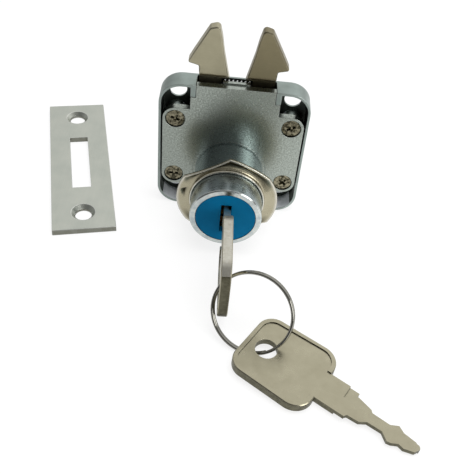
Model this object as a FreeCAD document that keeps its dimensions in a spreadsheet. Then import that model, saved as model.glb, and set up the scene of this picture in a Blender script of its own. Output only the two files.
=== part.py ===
"""Drawer lock with two hook latches, its keys on a split ring, and the strike plate.

The origin is on the barrel's axis, where the barrel meets the mounting face. +Z is up, the way
the hooks point, and the barrel points along -Y. All sizes are in millimetres.
"""
import FreeCAD, Part
import math
import os
from types import SimpleNamespace

import Sketcher
from FreeCAD import Matrix, Placement, Rotation, Vector

SIZES = {
    # casing
    "casing_width": 40.0,
    "casing_height": 40.0,
    "casing_depth": 6.0,
    "casing_wall": 0.7,
    "back_plate": 0.7,
    "casing_corner": 6.0,
    "barrel_drop": 6.45,
    "top_opening": 20.8,
    "rib_width": 1.4,
    "rib_front": 2.9,
    "inner_wall": 0.7,
    "corner_hole": 4.6,
    "corner_hole_inset": 4.7,
    "screw_boss": 5.2,
    # cover and barrel
    "cover_thickness": 2.0,
    "cover_gap": 0.4,
    "tongue_gap": 0.1,
    "pocket_height": 7.3,
    "pad_corner": 3.4,
    "guard_width": 6.6,
    "guard_thickness": 1.0,
    "guard_height": 3.4,
    "guard_rise": 0.4,
    "barrel_diameter": 19.0,
    "barrel_length": 20.2,
    "barrel_chamfer": 0.3,
    "base_groove_width": 0.7,
    "base_groove_depth": 0.3,
    "plug_bore": 14.0,
    "cap_recess": 16.0,
    "cap_recess_depth": 2.0,
    "groove_width": 5.4,
    "groove_span": 16.4,
    "groove_length": 13.6,
    # cover screws
    "screw_head": 4.9,
    "screw_head_height": 1.1,
    "screw_sink": 0.2,
    "screw_clearance": 0.25,
    "screw_shank": 2.6,
    "screw_length": 4.8,
    "cross_length": 3.2,
    "cross_width": 0.8,
    "cross_depth": 0.7,
    # trim nut
    "nut_flank_radius": 53.0,
    "nut_flank_depth": 2.2,
    "nut_back_flank_radius": 33.0,
    "nut_back_flank_depth": 0.85,
    "nut_back": 12.1,
    "nut_rim_height": 0.7,
    "nut_trough": 0.4,
    "nut_pit": 0.35,
    "nut_ring_wall": 0.7,
    "nut_lip_wall": 0.4,
    "nut_lip_height": 0.6,
    "nut_lip_width": 0.3,
    "nut_bore_gap": 0.1,
    # plug
    "running_gap": 0.05,
    "plug_boss": 11.0,
    "plug_boss_length": 1.0,
    "clip_groove_depth": 0.6,
    "clip_groove_start": 0.1,
    "clip_groove_width": 0.7,
    "clip_thickness": 0.6,
    "clip_diameter": 15.2,
    "clip_mouth": 8.0,
    "cap_gap": 0.15,
    "cap_slot_width": 2.7,
    "cap_slot_top": 4.5,
    "cap_slot_bottom": 4.7,
    "keyway_width": 2.8,
    "keyway_top": 4.0,
    "keyway_bottom": 4.3,
    "keyway_end_gap": 0.6,
    "tail_square": 3.4,
    # wafers
    "wafer_setback": 3.2,
    "wafer_pitch": 2.5,
    "wafer_thickness": 1.0,
    "wafer_width": 5.0,
    "wafer_gap": 0.05,
    "wafer_travel": 0.8,
    "wafer_window_width": 3.2,
    "wafer_window_gap": 0.2,
    "wafer_ear": 1.6,
    "wafer_ear_height": 1.2,
    "wafer_spring_diameter": 0.9,
    "wafer_spring_height": 2.2,
    # cam and hooks
    "cam_width": 6.0,
    "cam_height": 8.1,
    "cam_thickness": 2.0,
    "layer_gap": 0.1,
    "hook_thickness": 1.4,
    "hook_head_thickness": 2.7,
    "hook_bevel": 0.3,
    "head_groove_low": 16.85,
    "head_groove_high": 17.5,
    "head_groove_depth": 0.35,
    "tip_round": 1.0,
    "barb_round": 0.5,
    "tail_round": 0.6,
    "pivot_x": 6.3,
    "pivot_rise": 5.0,
    "pivot_pin": 2.5,
    "pin_into_cover": 1.0,
    "seat_depth": 2.05,
    "seat_height": 3.3,
    # hook spring
    "spring_diameter": 2.1,
    "spring_wire": 0.5,
    "spring_pitch": 1.07,
    "spring_turns": 7,
    "spring_rise": 14.0,
    # key
    "key_thickness": 1.8,
    "key_chamfer": 0.2,
    "bow_thickness": 2.5,
    "bow_rim": 1.1,
    "bow_end": 24.05,
    "bow_back": 2.0,
    "bow_half_end": 9.19,
    "bow_half_neck": 9.7,
    "bow_end_corner": 4.2,
    "bow_neck_corner": 4.7,
    "neck_notch": 0.8,
    "neck_half": 3.98,
    "key_shoulder": 5.0,
    "blade_foot": 3.7,
    "key_hole_place": 18.6,
    "key_hole": 5.5,
    "ward_step": 0.65,
    "ward_start": 2.5,
    "ward_edge": 0.4,
    "key_ahead": 3.5,
    "key_play_angle": 1.6,
    "key_play_depth": 11.2,
    # split ring
    "ring_diameter": 20.0,
    "ring_wire": 0.82,
    "ring_coil_pitch": 0.8,
    # strike plate
    "strike_length": 59.5,
    "strike_width": 17.4,
    "strike_thickness": 1.8,
    "strike_slot_length": 24.0,
    "strike_slot_width": 5.4,
    "strike_hole": 4.6,
    "strike_countersink": 6.7,
    "strike_hole_span": 45.7,
    # places on the surface that the lock stands on, the ring and spare key from the barrel's front
    "strike_x": -44.96,
    "strike_y": 12.44,
    "strike_turn": 103.12,
    "spare_tip_x": 46.58,
    "spare_tip_ahead": 55.65,
    "spare_lift": 0.05,
    "spare_heading": -32.71,
    "spare_slope": 2.62,
    "ring_x": 8.11,
    "ring_ahead": 27.81,
    "ring_rise": 9.52,
    "ring_tilt": 61.2,
    "ring_azimuth": -111.8,
}

# The right hook's outline, as distance out and height from its pivot's axis. The tail is below the pivot.
HOOK_POINTS = {
    "tip_inner": (-0.85, 30.65),
    "tip_outer": (1.55, 29.95),
    "barb_top": (5.25, 23.05),
    "barb_point": (6.55, 20.5),
    "barb_foot": (6.4, 19.95),
    "neck": (3.85, 19.3),
    "head_outer": (3.65, 16.55),
    "shank_foot": (3.65, -1.0),
    "tail_outer": (1.2, -5.0),
    "tail_end_outer": (1.2, -16.5),
    "tail_end_inner": (-3.1, -16.5),
    "tail_inner": (-3.1, -1.0),
    "waist_foot": (-4.0, 3.0),
    "waist_top": (-4.3, 15.0),
    "head_inner": (-3.94, 16.55),
    "flank": (-2.35, 23.5),
    "cheek": (-1.7, 27.3),
}

# The nut's upper trough from its right end over the tip, then back along the ring. The lower one is turned.
NUT_TROUGH = [
    (8.9, 7.5), (8.0, 9.5), (5.3, 10.9), (0.05, 12.7), (-5.2, 9.45), (-10.0, 7.3), (-9.7, 5.6),
    (-8.6, 4.95), (-4.95, 8.57), (0.0, 9.9), (4.95, 8.57), (7.6, 6.4),
]
NUT_PIT = [(-12.4, 2.5), (-11.5, -0.6), (-10.5, 3.4)]

# The blade's cut edges, from the shoulder to the tip, as place along the key and distance from its axis.
BLADE_UPPER = [
    (5.38, 3.0), (9.18, 2.0), (9.72, 1.4), (14.27, 1.3), (16.1, 2.4),
    (17.23, 1.75), (17.73, 1.45), (20.95, 1.1), (22.15, 0.1),
]
BLADE_LOWER = [
    (22.38, -0.35), (21.68, -1.75), (19.3, -2.55), (17.95, -2.22), (16.48, -3.1), (15.48, -3.3),
    (13.58, -1.8), (9.85, -1.9), (8.27, -3.05), (5.43, -3.22),
]

WAFER_COUNT = 5


class Size:
    """A number with its formula on the sheet, so that what is worked out from it stays bound."""

    def __init__(self, number, formula):
        self.number = number
        self.formula = formula

    def __add__(self, other):
        other = as_size(other)
        return Size(self.number + other.number, f"({self.formula} + {other.formula})")

    def __sub__(self, other):
        other = as_size(other)
        return Size(self.number - other.number, f"({self.formula} - {other.formula})")

    def __rsub__(self, other):
        return as_size(other) - self

    def __mul__(self, other):
        other = as_size(other)
        return Size(self.number * other.number, f"({self.formula} * {other.formula})")

    def __truediv__(self, other):
        other = as_size(other)
        return Size(self.number / other.number, f"({self.formula} / {other.formula})")

    def __neg__(self):
        return self * -1

    __radd__ = __add__
    __rmul__ = __mul__


def as_size(value):
    """The value as a Size. A plain number is its own formula."""
    return value if isinstance(value, Size) else Size(float(value), f"({float(value)})")


def fill_sheet(sheet, values):
    """Writes each value beside its name and gives the cell that name."""
    for row, (name, value) in enumerate(values.items(), start=1):
        sheet.set(f"A{row}", name)
        sheet.set(f"B{row}", str(value))
        sheet.setAlias(f"B{row}", name)


def add_points(values, prefix, points):
    """Adds a list of outline points to the sheet's values and returns them as pairs of sizes."""
    named = points.items() if isinstance(points, dict) else enumerate(points)
    pairs = {}
    for key, (across, along) in named:
        name = f"{prefix}_{key}" if isinstance(points, dict) else f"{prefix}_point_{key}"
        values[f"{name}_a"] = across
        values[f"{name}_b"] = along
        pairs[key] = tuple(Size(value, f"<<sizes>>.{name}_{end}") for value, end in ((across, "a"), (along, "b")))
    return pairs


doc = FreeCAD.newDocument("drawer_lock")
sheet = doc.addObject("Spreadsheet::Sheet", "sizes")
s = SimpleNamespace(**{name: Size(value, f"<<sizes>>.{name}") for name, value in SIZES.items()})
all_values = dict(SIZES)
hook_points = add_points(all_values, "hook", HOOK_POINTS)
blade_upper = list(add_points(all_values, "blade_upper", BLADE_UPPER).values())
blade_lower = list(add_points(all_values, "blade_lower", BLADE_LOWER).values())
nut_trough = list(add_points(all_values, "nut_trough", NUT_TROUGH).values())
nut_pit = list(add_points(all_values, "nut_pit", NUT_PIT).values())
fill_sheet(sheet, all_values)
doc.recompute()

NODES = []


def bind(item, path, value):
    """Ties one property of a feature to the sheet."""
    item.setExpression(path, as_size(value).formula)


def new_body(label, x=0, y=0, z=0, node=True):
    """A body for one sub-part, with its own origin at x, y, z."""
    body = doc.addObject("PartDesign::Body", label)
    body.Label = label
    for axis, value in zip("xyz", (x, y, z)):
        bind(body, f"Placement.Base.{axis}", value)
    if node:
        NODES.append(body)
    return body


def new_sketch(body, role="XZ_Plane", at=0):
    """A sketch on one of the body's origin planes, moved to the coordinate "at" along that plane's axis."""
    plane = next(item for item in body.Origin.OriginFeatures if item.Role == role)
    sketch = body.newObject("Sketcher::SketchObject", f"{body.Name}_sketch")
    sketch.AttachmentSupport = (plane, [""])
    sketch.MapMode = "FlatFace"
    # the XZ plane faces -Y, the other two face up their own axis
    offset = -as_size(at) if role == "XZ_Plane" else as_size(at)
    bind(sketch, "AttachmentOffset.Base.z", offset)
    return sketch


def hold(sketch, geometry, point, x, y):
    """Holds a point of the sketch at x, y from the sketch's origin."""
    for kind, value in (("DistanceX", as_size(x)), ("DistanceY", as_size(y))):
        index = sketch.addConstraint(Sketcher.Constraint(kind, -1, 1, geometry, point, value.number))
        sketch.setExpression(f"Constraints[{index}]", value.formula)


def outline(sketch, points):
    """A closed outline with straight sides through the points."""
    first = sketch.GeometryCount
    corners = [Vector(as_size(x).number, as_size(y).number, 0) for x, y in points]
    for start, end in zip(corners, corners[1:] + corners[:1]):
        sketch.addGeometry(Part.LineSegment(start, end), False)
    for i, (x, y) in enumerate(points):
        following = first + (i + 1) % len(points)
        sketch.addConstraint(Sketcher.Constraint("Coincident", first + i, 2, following, 1))
        hold(sketch, first + i, 1, x, y)
    return sketch


def rectangle(sketch, x_low, x_high, y_low, y_high):
    return outline(sketch, [(x_low, y_low), (x_high, y_low), (x_high, y_high), (x_low, y_high)])


def circle(sketch, x, y, diameter):
    radius = as_size(diameter) / 2
    centre = Vector(as_size(x).number, as_size(y).number, 0)
    index = sketch.addGeometry(Part.Circle(centre, Vector(0, 0, 1), radius.number), False)
    constraint = sketch.addConstraint(Sketcher.Constraint("Radius", index, radius.number))
    sketch.setExpression(f"Constraints[{constraint}]", radius.formula)
    hold(sketch, index, 3, x, y)
    return sketch


def grow(body, feature, more):
    """Works the feature out and makes sure that it added or took away material."""
    before = body.Shape.Volume if body.Tip and not body.Shape.isNull() else 0.0
    body.Tip = feature
    doc.recompute()
    change = body.Shape.Volume - before
    if not (change > 1e-6 if more else change < -1e-6):
        raise RuntimeError(f"{feature.Name} in {body.Label} changed the volume by {change:.6f}")
    return feature


def pad(body, sketch, length, midplane=False):
    """Adds material from the sketch along the way it faces, or half each way."""
    feature = body.newObject("PartDesign::Pad", f"{body.Name}_pad")
    feature.Profile = sketch
    bind(feature, "Length", length)
    feature.Midplane = midplane
    return grow(body, feature, more=True)


def pocket(body, sketch, length, midplane=False):
    """Takes material away behind the sketch, or half each way."""
    feature = body.newObject("PartDesign::Pocket", f"{body.Name}_pocket")
    feature.Profile = sketch
    bind(feature, "Length", length)
    feature.Midplane = midplane
    return grow(body, feature, more=False)


def turn(body, sketch, axis, kind="PartDesign::Revolution"):
    """Turns the sketch a full turn about its own horizontal or vertical axis."""
    feature = body.newObject(kind, f"{body.Name}_turned")
    feature.Profile = sketch
    feature.ReferenceAxis = (sketch, [axis])
    feature.Angle = 360
    return grow(body, feature, more=kind.endswith("Revolution"))


def dress(body, kind, size, chosen):
    """Rounds or bevels the chosen edges of the body."""
    base = body.Tip
    edges = [f"Edge{i}" for i, edge in enumerate(base.Shape.Edges, start=1) if chosen(edge)]
    if not edges:
        raise RuntimeError(f"no edge to dress on {body.Label}")
    feature = body.newObject(f"PartDesign::{kind}", f"{body.Name}_{kind.lower()}")
    feature.Base = (base, edges)
    bind(feature, "Radius" if kind == "Fillet" else "Size", size)
    body.Tip = feature
    doc.recompute()
    return feature


def along(axis, *places):
    """Picks straight edges that run along an axis through any of the places, given in the other two axes."""
    others = [i for i in range(3) if i != axis]

    def chosen(edge):
        ends = [vertex.Point for vertex in edge.Vertexes]
        if len(ends) != 2 or (ends[1] - ends[0]).Length < 1e-6:
            return False
        way = ends[1] - ends[0]
        if max(abs(way[i]) for i in others) > 1e-4:
            return False
        return any(
            math.hypot(ends[0][others[0]] - as_size(u).number, ends[0][others[1]] - as_size(v).number) < 0.01
            for u, v in places
        )

    return chosen


# Places shared by several pieces. Depths are along Y from the mounting face.

half_width = s.casing_width / 2
half_height = s.casing_height / 2
floor_z = s.barrel_drop - half_height
inner_depth = s.casing_depth - s.back_plate
cover_half = half_width - s.casing_wall - s.cover_gap
cover_top = half_height
cover_bottom = half_height - s.casing_wall - s.cover_gap
tongue_half = s.top_opening / 2 - s.tongue_gap
shoulder_half = s.top_opening / 2 + s.rib_width
pocket_foot = half_height - s.pocket_height
foot_half = shoulder_half - s.tongue_gap
screw_x = cover_half - s.pad_corner
screw_z = pocket_foot - s.pad_corner
tongue_foot = half_height - s.casing_wall - s.rib_front
hook_front = inner_depth - s.layer_gap - s.hook_thickness
hook_head_front = inner_depth - s.layer_gap - s.hook_head_thickness
pivot_z = s.barrel_drop + s.pivot_rise
plug_diameter = s.plug_bore - 2 * s.running_gap
cap_plane = s.cap_recess_depth - s.barrel_length
wafer_start = cap_plane + s.wafer_setback
groove_diameter = s.plug_boss - 2 * s.clip_groove_depth
plug_end = s.cover_thickness + s.plug_boss_length
spring_z = pivot_z + s.spring_rise
key_insertion = s.barrel_length + s.key_ahead


def four_places(span_x, span_z):
    """The corners of a rectangle about the middle."""
    return [(x * span_x / 2, z * span_z / 2) for x in (1, -1) for z in (1, -1)]


def screw_places():
    """The four cover screws, each on the centre of a rounded corner of the cover."""
    return four_places(2 * screw_x, 2 * screw_z)


def make_casing():
    """Square box, open at the front, with a slot in its top wall for the hooks."""
    body = new_body("casing", z=s.barrel_drop)
    outer = rectangle(new_sketch(body, at=s.casing_depth), -half_width, half_width, -half_height, half_height)
    pad(body, outer, s.casing_depth)
    inner_x = half_width - s.casing_wall
    inner_z = half_height - s.casing_wall
    hollow = rectangle(new_sketch(body), -inner_x, inner_x, -inner_z, inner_z)
    pocket(body, hollow, inner_depth)
    inner_corners = [(x * inner_x, z * inner_z) for x in (1, -1) for z in (1, -1)]
    dress(body, "Fillet", s.casing_corner - s.casing_wall, lambda edge: beside(edge, inner_corners))
    corners = four_places(s.casing_width, s.casing_height)
    dress(body, "Fillet", s.casing_corner, lambda edge: beside(edge, corners))
    for side in (1, -1):
        rib = new_sketch(body, at=inner_depth)
        near = side * s.top_opening / 2
        far = side * shoulder_half
        rectangle(rib, near, far, tongue_foot + s.tongue_gap, inner_z)
        pad(body, rib, inner_depth)
        wall = new_sketch(body, at=inner_depth)
        rectangle(wall, far - side * s.inner_wall, far, -inner_z, inner_z)
        pad(body, wall, inner_depth - s.cover_thickness)
    bosses = new_sketch(body, at=inner_depth)
    for x, z in screw_places():
        circle(bosses, x, z, s.screw_boss)
    pad(body, bosses, inner_depth - s.cover_thickness)
    slot = rectangle(
        new_sketch(body), -s.top_opening / 2, s.top_opening / 2, inner_z - s.cover_gap, half_height + s.cover_gap
    )
    pocket(body, slot, inner_depth)
    holes = new_sketch(body)
    for x, z in four_places(s.casing_width - 2 * s.corner_hole_inset, s.casing_height - 2 * s.corner_hole_inset):
        circle(holes, x, z, s.corner_hole)
    pocket(body, holes, s.casing_depth)
    threads = new_sketch(body, at=s.cover_thickness)
    for x, z in screw_places():
        circle(threads, x, z, s.screw_shank)
    pocket(body, threads, s.screw_length + s.screw_sink - s.cover_thickness)
    pins = new_sketch(body, at=inner_depth)
    for side in (1, -1):
        circle(pins, side * s.pivot_x, s.pivot_rise, s.pivot_pin)
    pocket(body, pins, s.back_plate)


def beside(edge, places):
    """Whether the edge runs along Y at one of the places, given in X and Z."""
    return along(1, *places)(edge)


def make_cover():
    """Front plate with the lock barrel, its plug bore and the grooves that hold the wafers."""
    body = new_body("cover", z=s.barrel_drop)
    half = [
        (tongue_half, cover_top),
        (tongue_half, tongue_foot),
        (foot_half, tongue_foot),
        (foot_half, pocket_foot),
        (cover_half, pocket_foot),
        (cover_half, -pocket_foot),
        (foot_half, -pocket_foot),
        (foot_half, -cover_bottom),
    ]
    plate = new_sketch(body, at=s.cover_thickness)
    outline(plate, half + [(-x, z) for x, z in reversed(half)])
    pad(body, plate, s.cover_thickness)
    pad_corners = four_places(2 * cover_half, 2 * pocket_foot)
    dress(body, "Fillet", s.pad_corner, lambda edge: beside(edge, pad_corners))
    guard = new_sketch(body, at=s.cover_thickness + s.guard_thickness)
    guard_top = cover_top + s.guard_rise
    rectangle(guard, -s.guard_width / 2, s.guard_width / 2, guard_top - s.guard_height, guard_top)
    pad(body, guard, s.guard_thickness)
    barrel = circle(new_sketch(body), 0, -s.barrel_drop, s.barrel_diameter)
    pad(body, barrel, s.barrel_length)
    front_edge = lambda edge: is_circle_at(edge, -s.barrel_length, s.barrel_diameter)
    dress(body, "Chamfer", s.barrel_chamfer, front_edge)
    base = new_sketch(body)
    circle(base, 0, -s.barrel_drop, s.barrel_diameter)
    circle(base, 0, -s.barrel_drop, s.barrel_diameter + 2 * s.base_groove_width)
    pocket(body, base, s.base_groove_depth)
    bore = circle(new_sketch(body, at=-s.barrel_length), 0, -s.barrel_drop, s.plug_bore)
    pocket(body, bore, s.barrel_length + s.cover_thickness)
    recess = circle(new_sketch(body, at=-s.barrel_length), 0, -s.barrel_drop, s.cap_recess)
    pocket(body, recess, s.cap_recess_depth + s.running_gap)
    groove_start = wafer_start - s.wafer_pitch / 2 - s.wafer_thickness / 2
    for width, height in ((s.groove_width, s.groove_span), (s.groove_span, s.groove_width)):
        groove = new_sketch(body, at=groove_start)
        rectangle(groove, -width / 2, width / 2, -s.barrel_drop - height / 2, -s.barrel_drop + height / 2)
        pocket(body, groove, s.groove_length)
    heads = new_sketch(body)
    shanks = new_sketch(body)
    for x, z in screw_places():
        circle(heads, x, z, s.screw_head + 2 * s.screw_clearance)
        circle(shanks, x, z, s.screw_shank)
    pocket(body, heads, s.screw_sink + s.screw_head_height)
    pocket(body, shanks, s.cover_thickness)
    pins = new_sketch(body, at=s.cover_thickness - s.pin_into_cover - s.running_gap)
    for side in (1, -1):
        circle(pins, side * s.pivot_x, s.pivot_rise, s.pivot_pin)
    pocket(body, pins, s.pin_into_cover + s.running_gap)


def is_circle_at(edge, depth, diameter):
    """Whether the edge is a full circle of that diameter at that depth."""
    curve = edge.Curve
    if not isinstance(curve, Part.Circle) or len(edge.Vertexes) != 1:
        return False
    return abs(curve.Radius - diameter.number / 2) < 1e-4 and abs(curve.Center.y - depth.number) < 1e-4


def make_cover_screws():
    """Four screws with cross recesses, all in one node."""
    places = screw_places()
    group("cover_screws", [
        make_screw(f"screw_{number}", x, z + s.barrel_drop) for number, (x, z) in enumerate(places, start=1)
    ])


def group(label, pieces):
    """One node that holds several separate solids."""
    node = doc.addObject("Part::Compound", label)
    node.Label = label
    node.Links = pieces
    NODES.append(node)


def make_screw(label, x, z):
    """One screw, with its head's face a little below the cover's."""
    body = new_body(label, x=x, z=z, node=False)
    head_foot = s.screw_sink + s.screw_head_height
    pad(body, circle(new_sketch(body, at=head_foot), 0, 0, s.screw_head), s.screw_head_height)
    end = s.screw_sink + s.screw_length
    pad(body, circle(new_sketch(body, at=end), 0, 0, s.screw_shank), end - head_foot)
    for length, width in ((s.cross_length, s.cross_width), (s.cross_width, s.cross_length)):
        bar = rectangle(new_sketch(body, at=s.screw_sink), -length / 2, length / 2, -width / 2, width / 2)
        pocket(body, bar, s.cross_depth)
    return body


def make_trim_nut():
    """Dished ring nut with two pointed tips: a thin rim, a trough behind each tip and a round lip."""
    body = new_body("trim_nut")
    rim_front = -(s.nut_back + s.nut_rim_height)
    tip = -floor_z
    pad(body, circle(new_sketch(body, at=-s.nut_back), 0, 0, 2 * tip), s.nut_rim_height)
    hollow = s.nut_flank_radius + tip - s.nut_flank_depth
    hollow_angle = math.pi / 2 + span_angle(hollow, tip, s.nut_flank_radius)
    bite = new_sketch(body, at=rim_front)
    circle(bite, hollow * math.cos(hollow_angle), hollow * math.sin(hollow_angle), 2 * s.nut_flank_radius)
    half_turned(body, pocket(body, bite, s.nut_rim_height))
    crowned = s.nut_back_flank_radius - tip + s.nut_back_flank_depth
    crowned_angle = -math.pi / 2 - span_angle(crowned, tip, s.nut_back_flank_radius)
    shave = new_sketch(body, at=rim_front)
    across, along_z = crowned * math.cos(crowned_angle), crowned * math.sin(crowned_angle)
    circle(shave, across, along_z, 2 * s.nut_back_flank_radius)
    circle(shave, across, along_z, 4 * s.nut_back_flank_radius)
    half_turned(body, pocket(body, shave, s.nut_rim_height))
    trough = outline(new_sketch(body, at=rim_front), nut_trough)
    half_turned(body, pocket(body, trough, s.nut_trough))
    pocket(body, outline(new_sketch(body, at=rim_front), nut_pit), s.nut_pit)
    dish = new_sketch(body, role="YZ_Plane")
    bore = s.barrel_diameter / 2 + s.nut_bore_gap
    lip_front = rim_front - s.nut_lip_height
    outline(dish, [
        (-s.nut_back, bore),
        (-s.nut_back, bore + s.nut_ring_wall),
        (rim_front + s.nut_trough, bore + s.nut_ring_wall),
        (lip_front, bore + s.nut_lip_wall),
        (lip_front, bore + s.nut_lip_wall - s.nut_lip_width),
        (rim_front, bore),
    ])
    turn(body, dish, "H_Axis")
    hole = circle(new_sketch(body, at=lip_front), 0, 0, 2 * bore)
    pocket(body, hole, s.nut_rim_height + s.nut_lip_height)


def span_angle(far, near, radius):
    """Half the angle, seen from the middle, that a circle at the distance "far" covers of one round the middle."""
    far, near, radius = far.number, near.number, radius.number
    return math.acos(abs(far * far + near * near - radius * radius) / (2 * far * near))


def half_turned(body, cut):
    """Repeats the cut on the other side of the Y axis."""
    pattern = body.newObject("PartDesign::PolarPattern", f"{body.Name}_pattern")
    pattern.Originals = [cut]
    axis = next(item for item in body.Origin.OriginFeatures if item.Role == "Y_Axis")
    pattern.Axis = (axis, [""])
    pattern.Angle = 360
    pattern.Occurrences = 2
    return grow(body, pattern, more=False)


def make_plug():
    """Turning cylinder with the keyway, the wafer slots, a grooved boss and a square tail."""
    body = new_body("plug")
    pad(body, circle(new_sketch(body, at=s.cover_thickness), 0, 0, plug_diameter), s.cover_thickness - cap_plane)
    pad(body, circle(new_sketch(body, at=plug_end), 0, 0, s.plug_boss), s.plug_boss_length)
    groove = new_sketch(body, at=s.cover_thickness + s.clip_groove_start)
    circle(groove, 0, 0, s.plug_boss)
    circle(groove, 0, 0, groove_diameter)
    pocket(body, groove, s.clip_groove_width)
    side = s.tail_square / 2
    tail_length = inner_depth - plug_end - s.layer_gap
    pad(body, rectangle(new_sketch(body, at=plug_end + tail_length), -side, side, -side, side), tail_length)
    blade_end = blade_upper[-1][0] - key_insertion
    keyway = new_sketch(body, at=cap_plane)
    rectangle(keyway, -s.keyway_width / 2, s.keyway_width / 2, -s.keyway_bottom, s.keyway_top)
    pocket(body, keyway, blade_end - cap_plane + s.keyway_end_gap)
    slots = new_sketch(body, role="XY_Plane")
    half_slot = s.wafer_thickness / 2 + s.wafer_gap
    half_wide = s.wafer_width / 2 + s.wafer_gap
    for place in wafer_places():
        rectangle(slots, -half_wide, half_wide, place - half_slot, place + half_slot)
    pocket(body, slots, 2 * s.plug_bore, midplane=True)
    ears = new_sketch(body, role="XY_Plane", at=s.wafer_ear_height + s.wafer_spring_height)
    for place in wafer_places():
        rectangle(ears, half_wide - s.wafer_gap, half_wide + s.wafer_ear, place - half_slot, place + half_slot)
    ear_drop = s.wafer_travel + s.wafer_gap * 2
    pocket(body, ears, s.wafer_ear_height + s.wafer_spring_height + ear_drop)


def wafer_places():
    """Each wafer's place along Y, from the front one back."""
    return [wafer_start + number * s.wafer_pitch for number in range(WAFER_COUNT)]


def blade_reach(points, place, way):
    """How far the blade's edge reaches, at the wafer or nearer the tip. way is 1 for the upper edge, -1 for the lower."""
    beyond = [point for point in points if point[0].number >= place.number - s.wafer_pitch.number]
    return max(beyond, key=lambda point: way * point[1].number)[1]


def make_wafers():
    """Five wafers, each with a window as high as the part of the blade that passes through it."""
    for number, place in enumerate(wafer_places(), start=1):
        body = new_body(f"wafer_{number}", y=place)
        half = s.wafer_thickness / 2
        disc = circle(new_sketch(body, at=half), 0, 0, plug_diameter - 2 * s.running_gap)
        pad(body, disc, s.wafer_thickness)
        for side in (1, -1):
            flank = new_sketch(body, at=-half)
            rectangle(flank, side * s.wafer_width / 2, side * s.plug_bore, -s.plug_bore, s.plug_bore)
            pocket(body, flank, s.wafer_thickness)
        ear = new_sketch(body, at=half)
        ear_end = s.wafer_width / 2 + s.wafer_ear - s.wafer_gap
        rectangle(ear, 0, ear_end, 0, s.wafer_ear_height)
        pad(body, ear, s.wafer_thickness)
        on_key = place + key_insertion
        top = blade_reach(blade_upper, on_key, 1) + s.wafer_travel + s.wafer_window_gap
        bottom = blade_reach(blade_lower, on_key, -1) - s.wafer_window_gap
        window = new_sketch(body, at=-half)
        rectangle(window, -s.wafer_window_width / 2, s.wafer_window_width / 2, bottom, top)
        pocket(body, window, s.wafer_thickness)


def make_wafer_springs():
    """Five short posts in the place of the springs that press on the wafers' ears."""
    posts = []
    for number, place in enumerate(wafer_places(), start=1):
        post = doc.addObject("Part::Cylinder", f"wafer_spring_{number}")
        bind(post, "Radius", s.wafer_spring_diameter / 2)
        bind(post, "Height", s.wafer_spring_height)
        bind(post, "Placement.Base.x", s.wafer_width / 2 + s.wafer_ear / 2)
        bind(post, "Placement.Base.y", place)
        bind(post, "Placement.Base.z", s.wafer_ear_height)
        posts.append(post)
    group("wafer_springs", posts)


def make_plug_cap():
    """Round disc with the keyway, on the front of the plug."""
    body = new_body("plug_cap")
    diameter = s.cap_recess - 2 * s.cap_gap
    pad(body, circle(new_sketch(body, at=cap_plane), 0, 0, diameter), s.cap_recess_depth)
    slot = new_sketch(body, at=-s.barrel_length)
    rectangle(slot, -s.cap_slot_width / 2, s.cap_slot_width / 2, -s.cap_slot_bottom, s.cap_slot_top)
    pocket(body, slot, s.cap_recess_depth)


def make_plug_clip():
    """Open retaining ring in the groove of the plug's boss, behind the cover."""
    body = new_body("plug_clip")
    back = s.cover_thickness + s.clip_groove_start + s.clip_thickness + s.running_gap
    ring = new_sketch(body, at=back)
    circle(ring, 0, 0, s.clip_diameter)
    circle(ring, 0, 0, groove_diameter)
    pad(body, ring, s.clip_thickness)
    mouth = new_sketch(body, at=back - s.clip_thickness)
    rectangle(mouth, -s.clip_mouth / 2, s.clip_mouth / 2, -s.clip_diameter, 0)
    pocket(body, mouth, s.clip_thickness)


def make_driver_cam():
    """Oval cam on the plug's square tail. Its short way lies across the hooks' tails when locked."""
    body = new_body("driver_cam")
    back = inner_depth - s.layer_gap * 2
    short = s.cam_width / 2
    tall = s.cam_height / 2
    sketch = new_sketch(body, at=back)
    index = sketch.addGeometry(
        Part.Ellipse(Vector(0, tall.number, 0), Vector(short.number, 0, 0), Vector(0, 0, 0)), False
    )
    sketch.exposeInternalGeometry(index)
    hold(sketch, index, 3, 0, 0)
    hold_axis(sketch, index + 1, tall)
    hold_axis(sketch, index + 2, short)
    pad(body, sketch, s.cam_thickness)
    side = s.tail_square / 2 + s.running_gap / 2
    square = rectangle(new_sketch(body, at=back - s.cam_thickness), -side, side, -side, side)
    pocket(body, square, s.cam_thickness)


def hold_axis(sketch, line, half):
    """Holds an oval's axis line at its full length."""
    index = sketch.addConstraint(Sketcher.Constraint("Distance", line, 2 * half.number))
    sketch.setExpression(f"Constraints[{index}]", (2 * half).formula)


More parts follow.
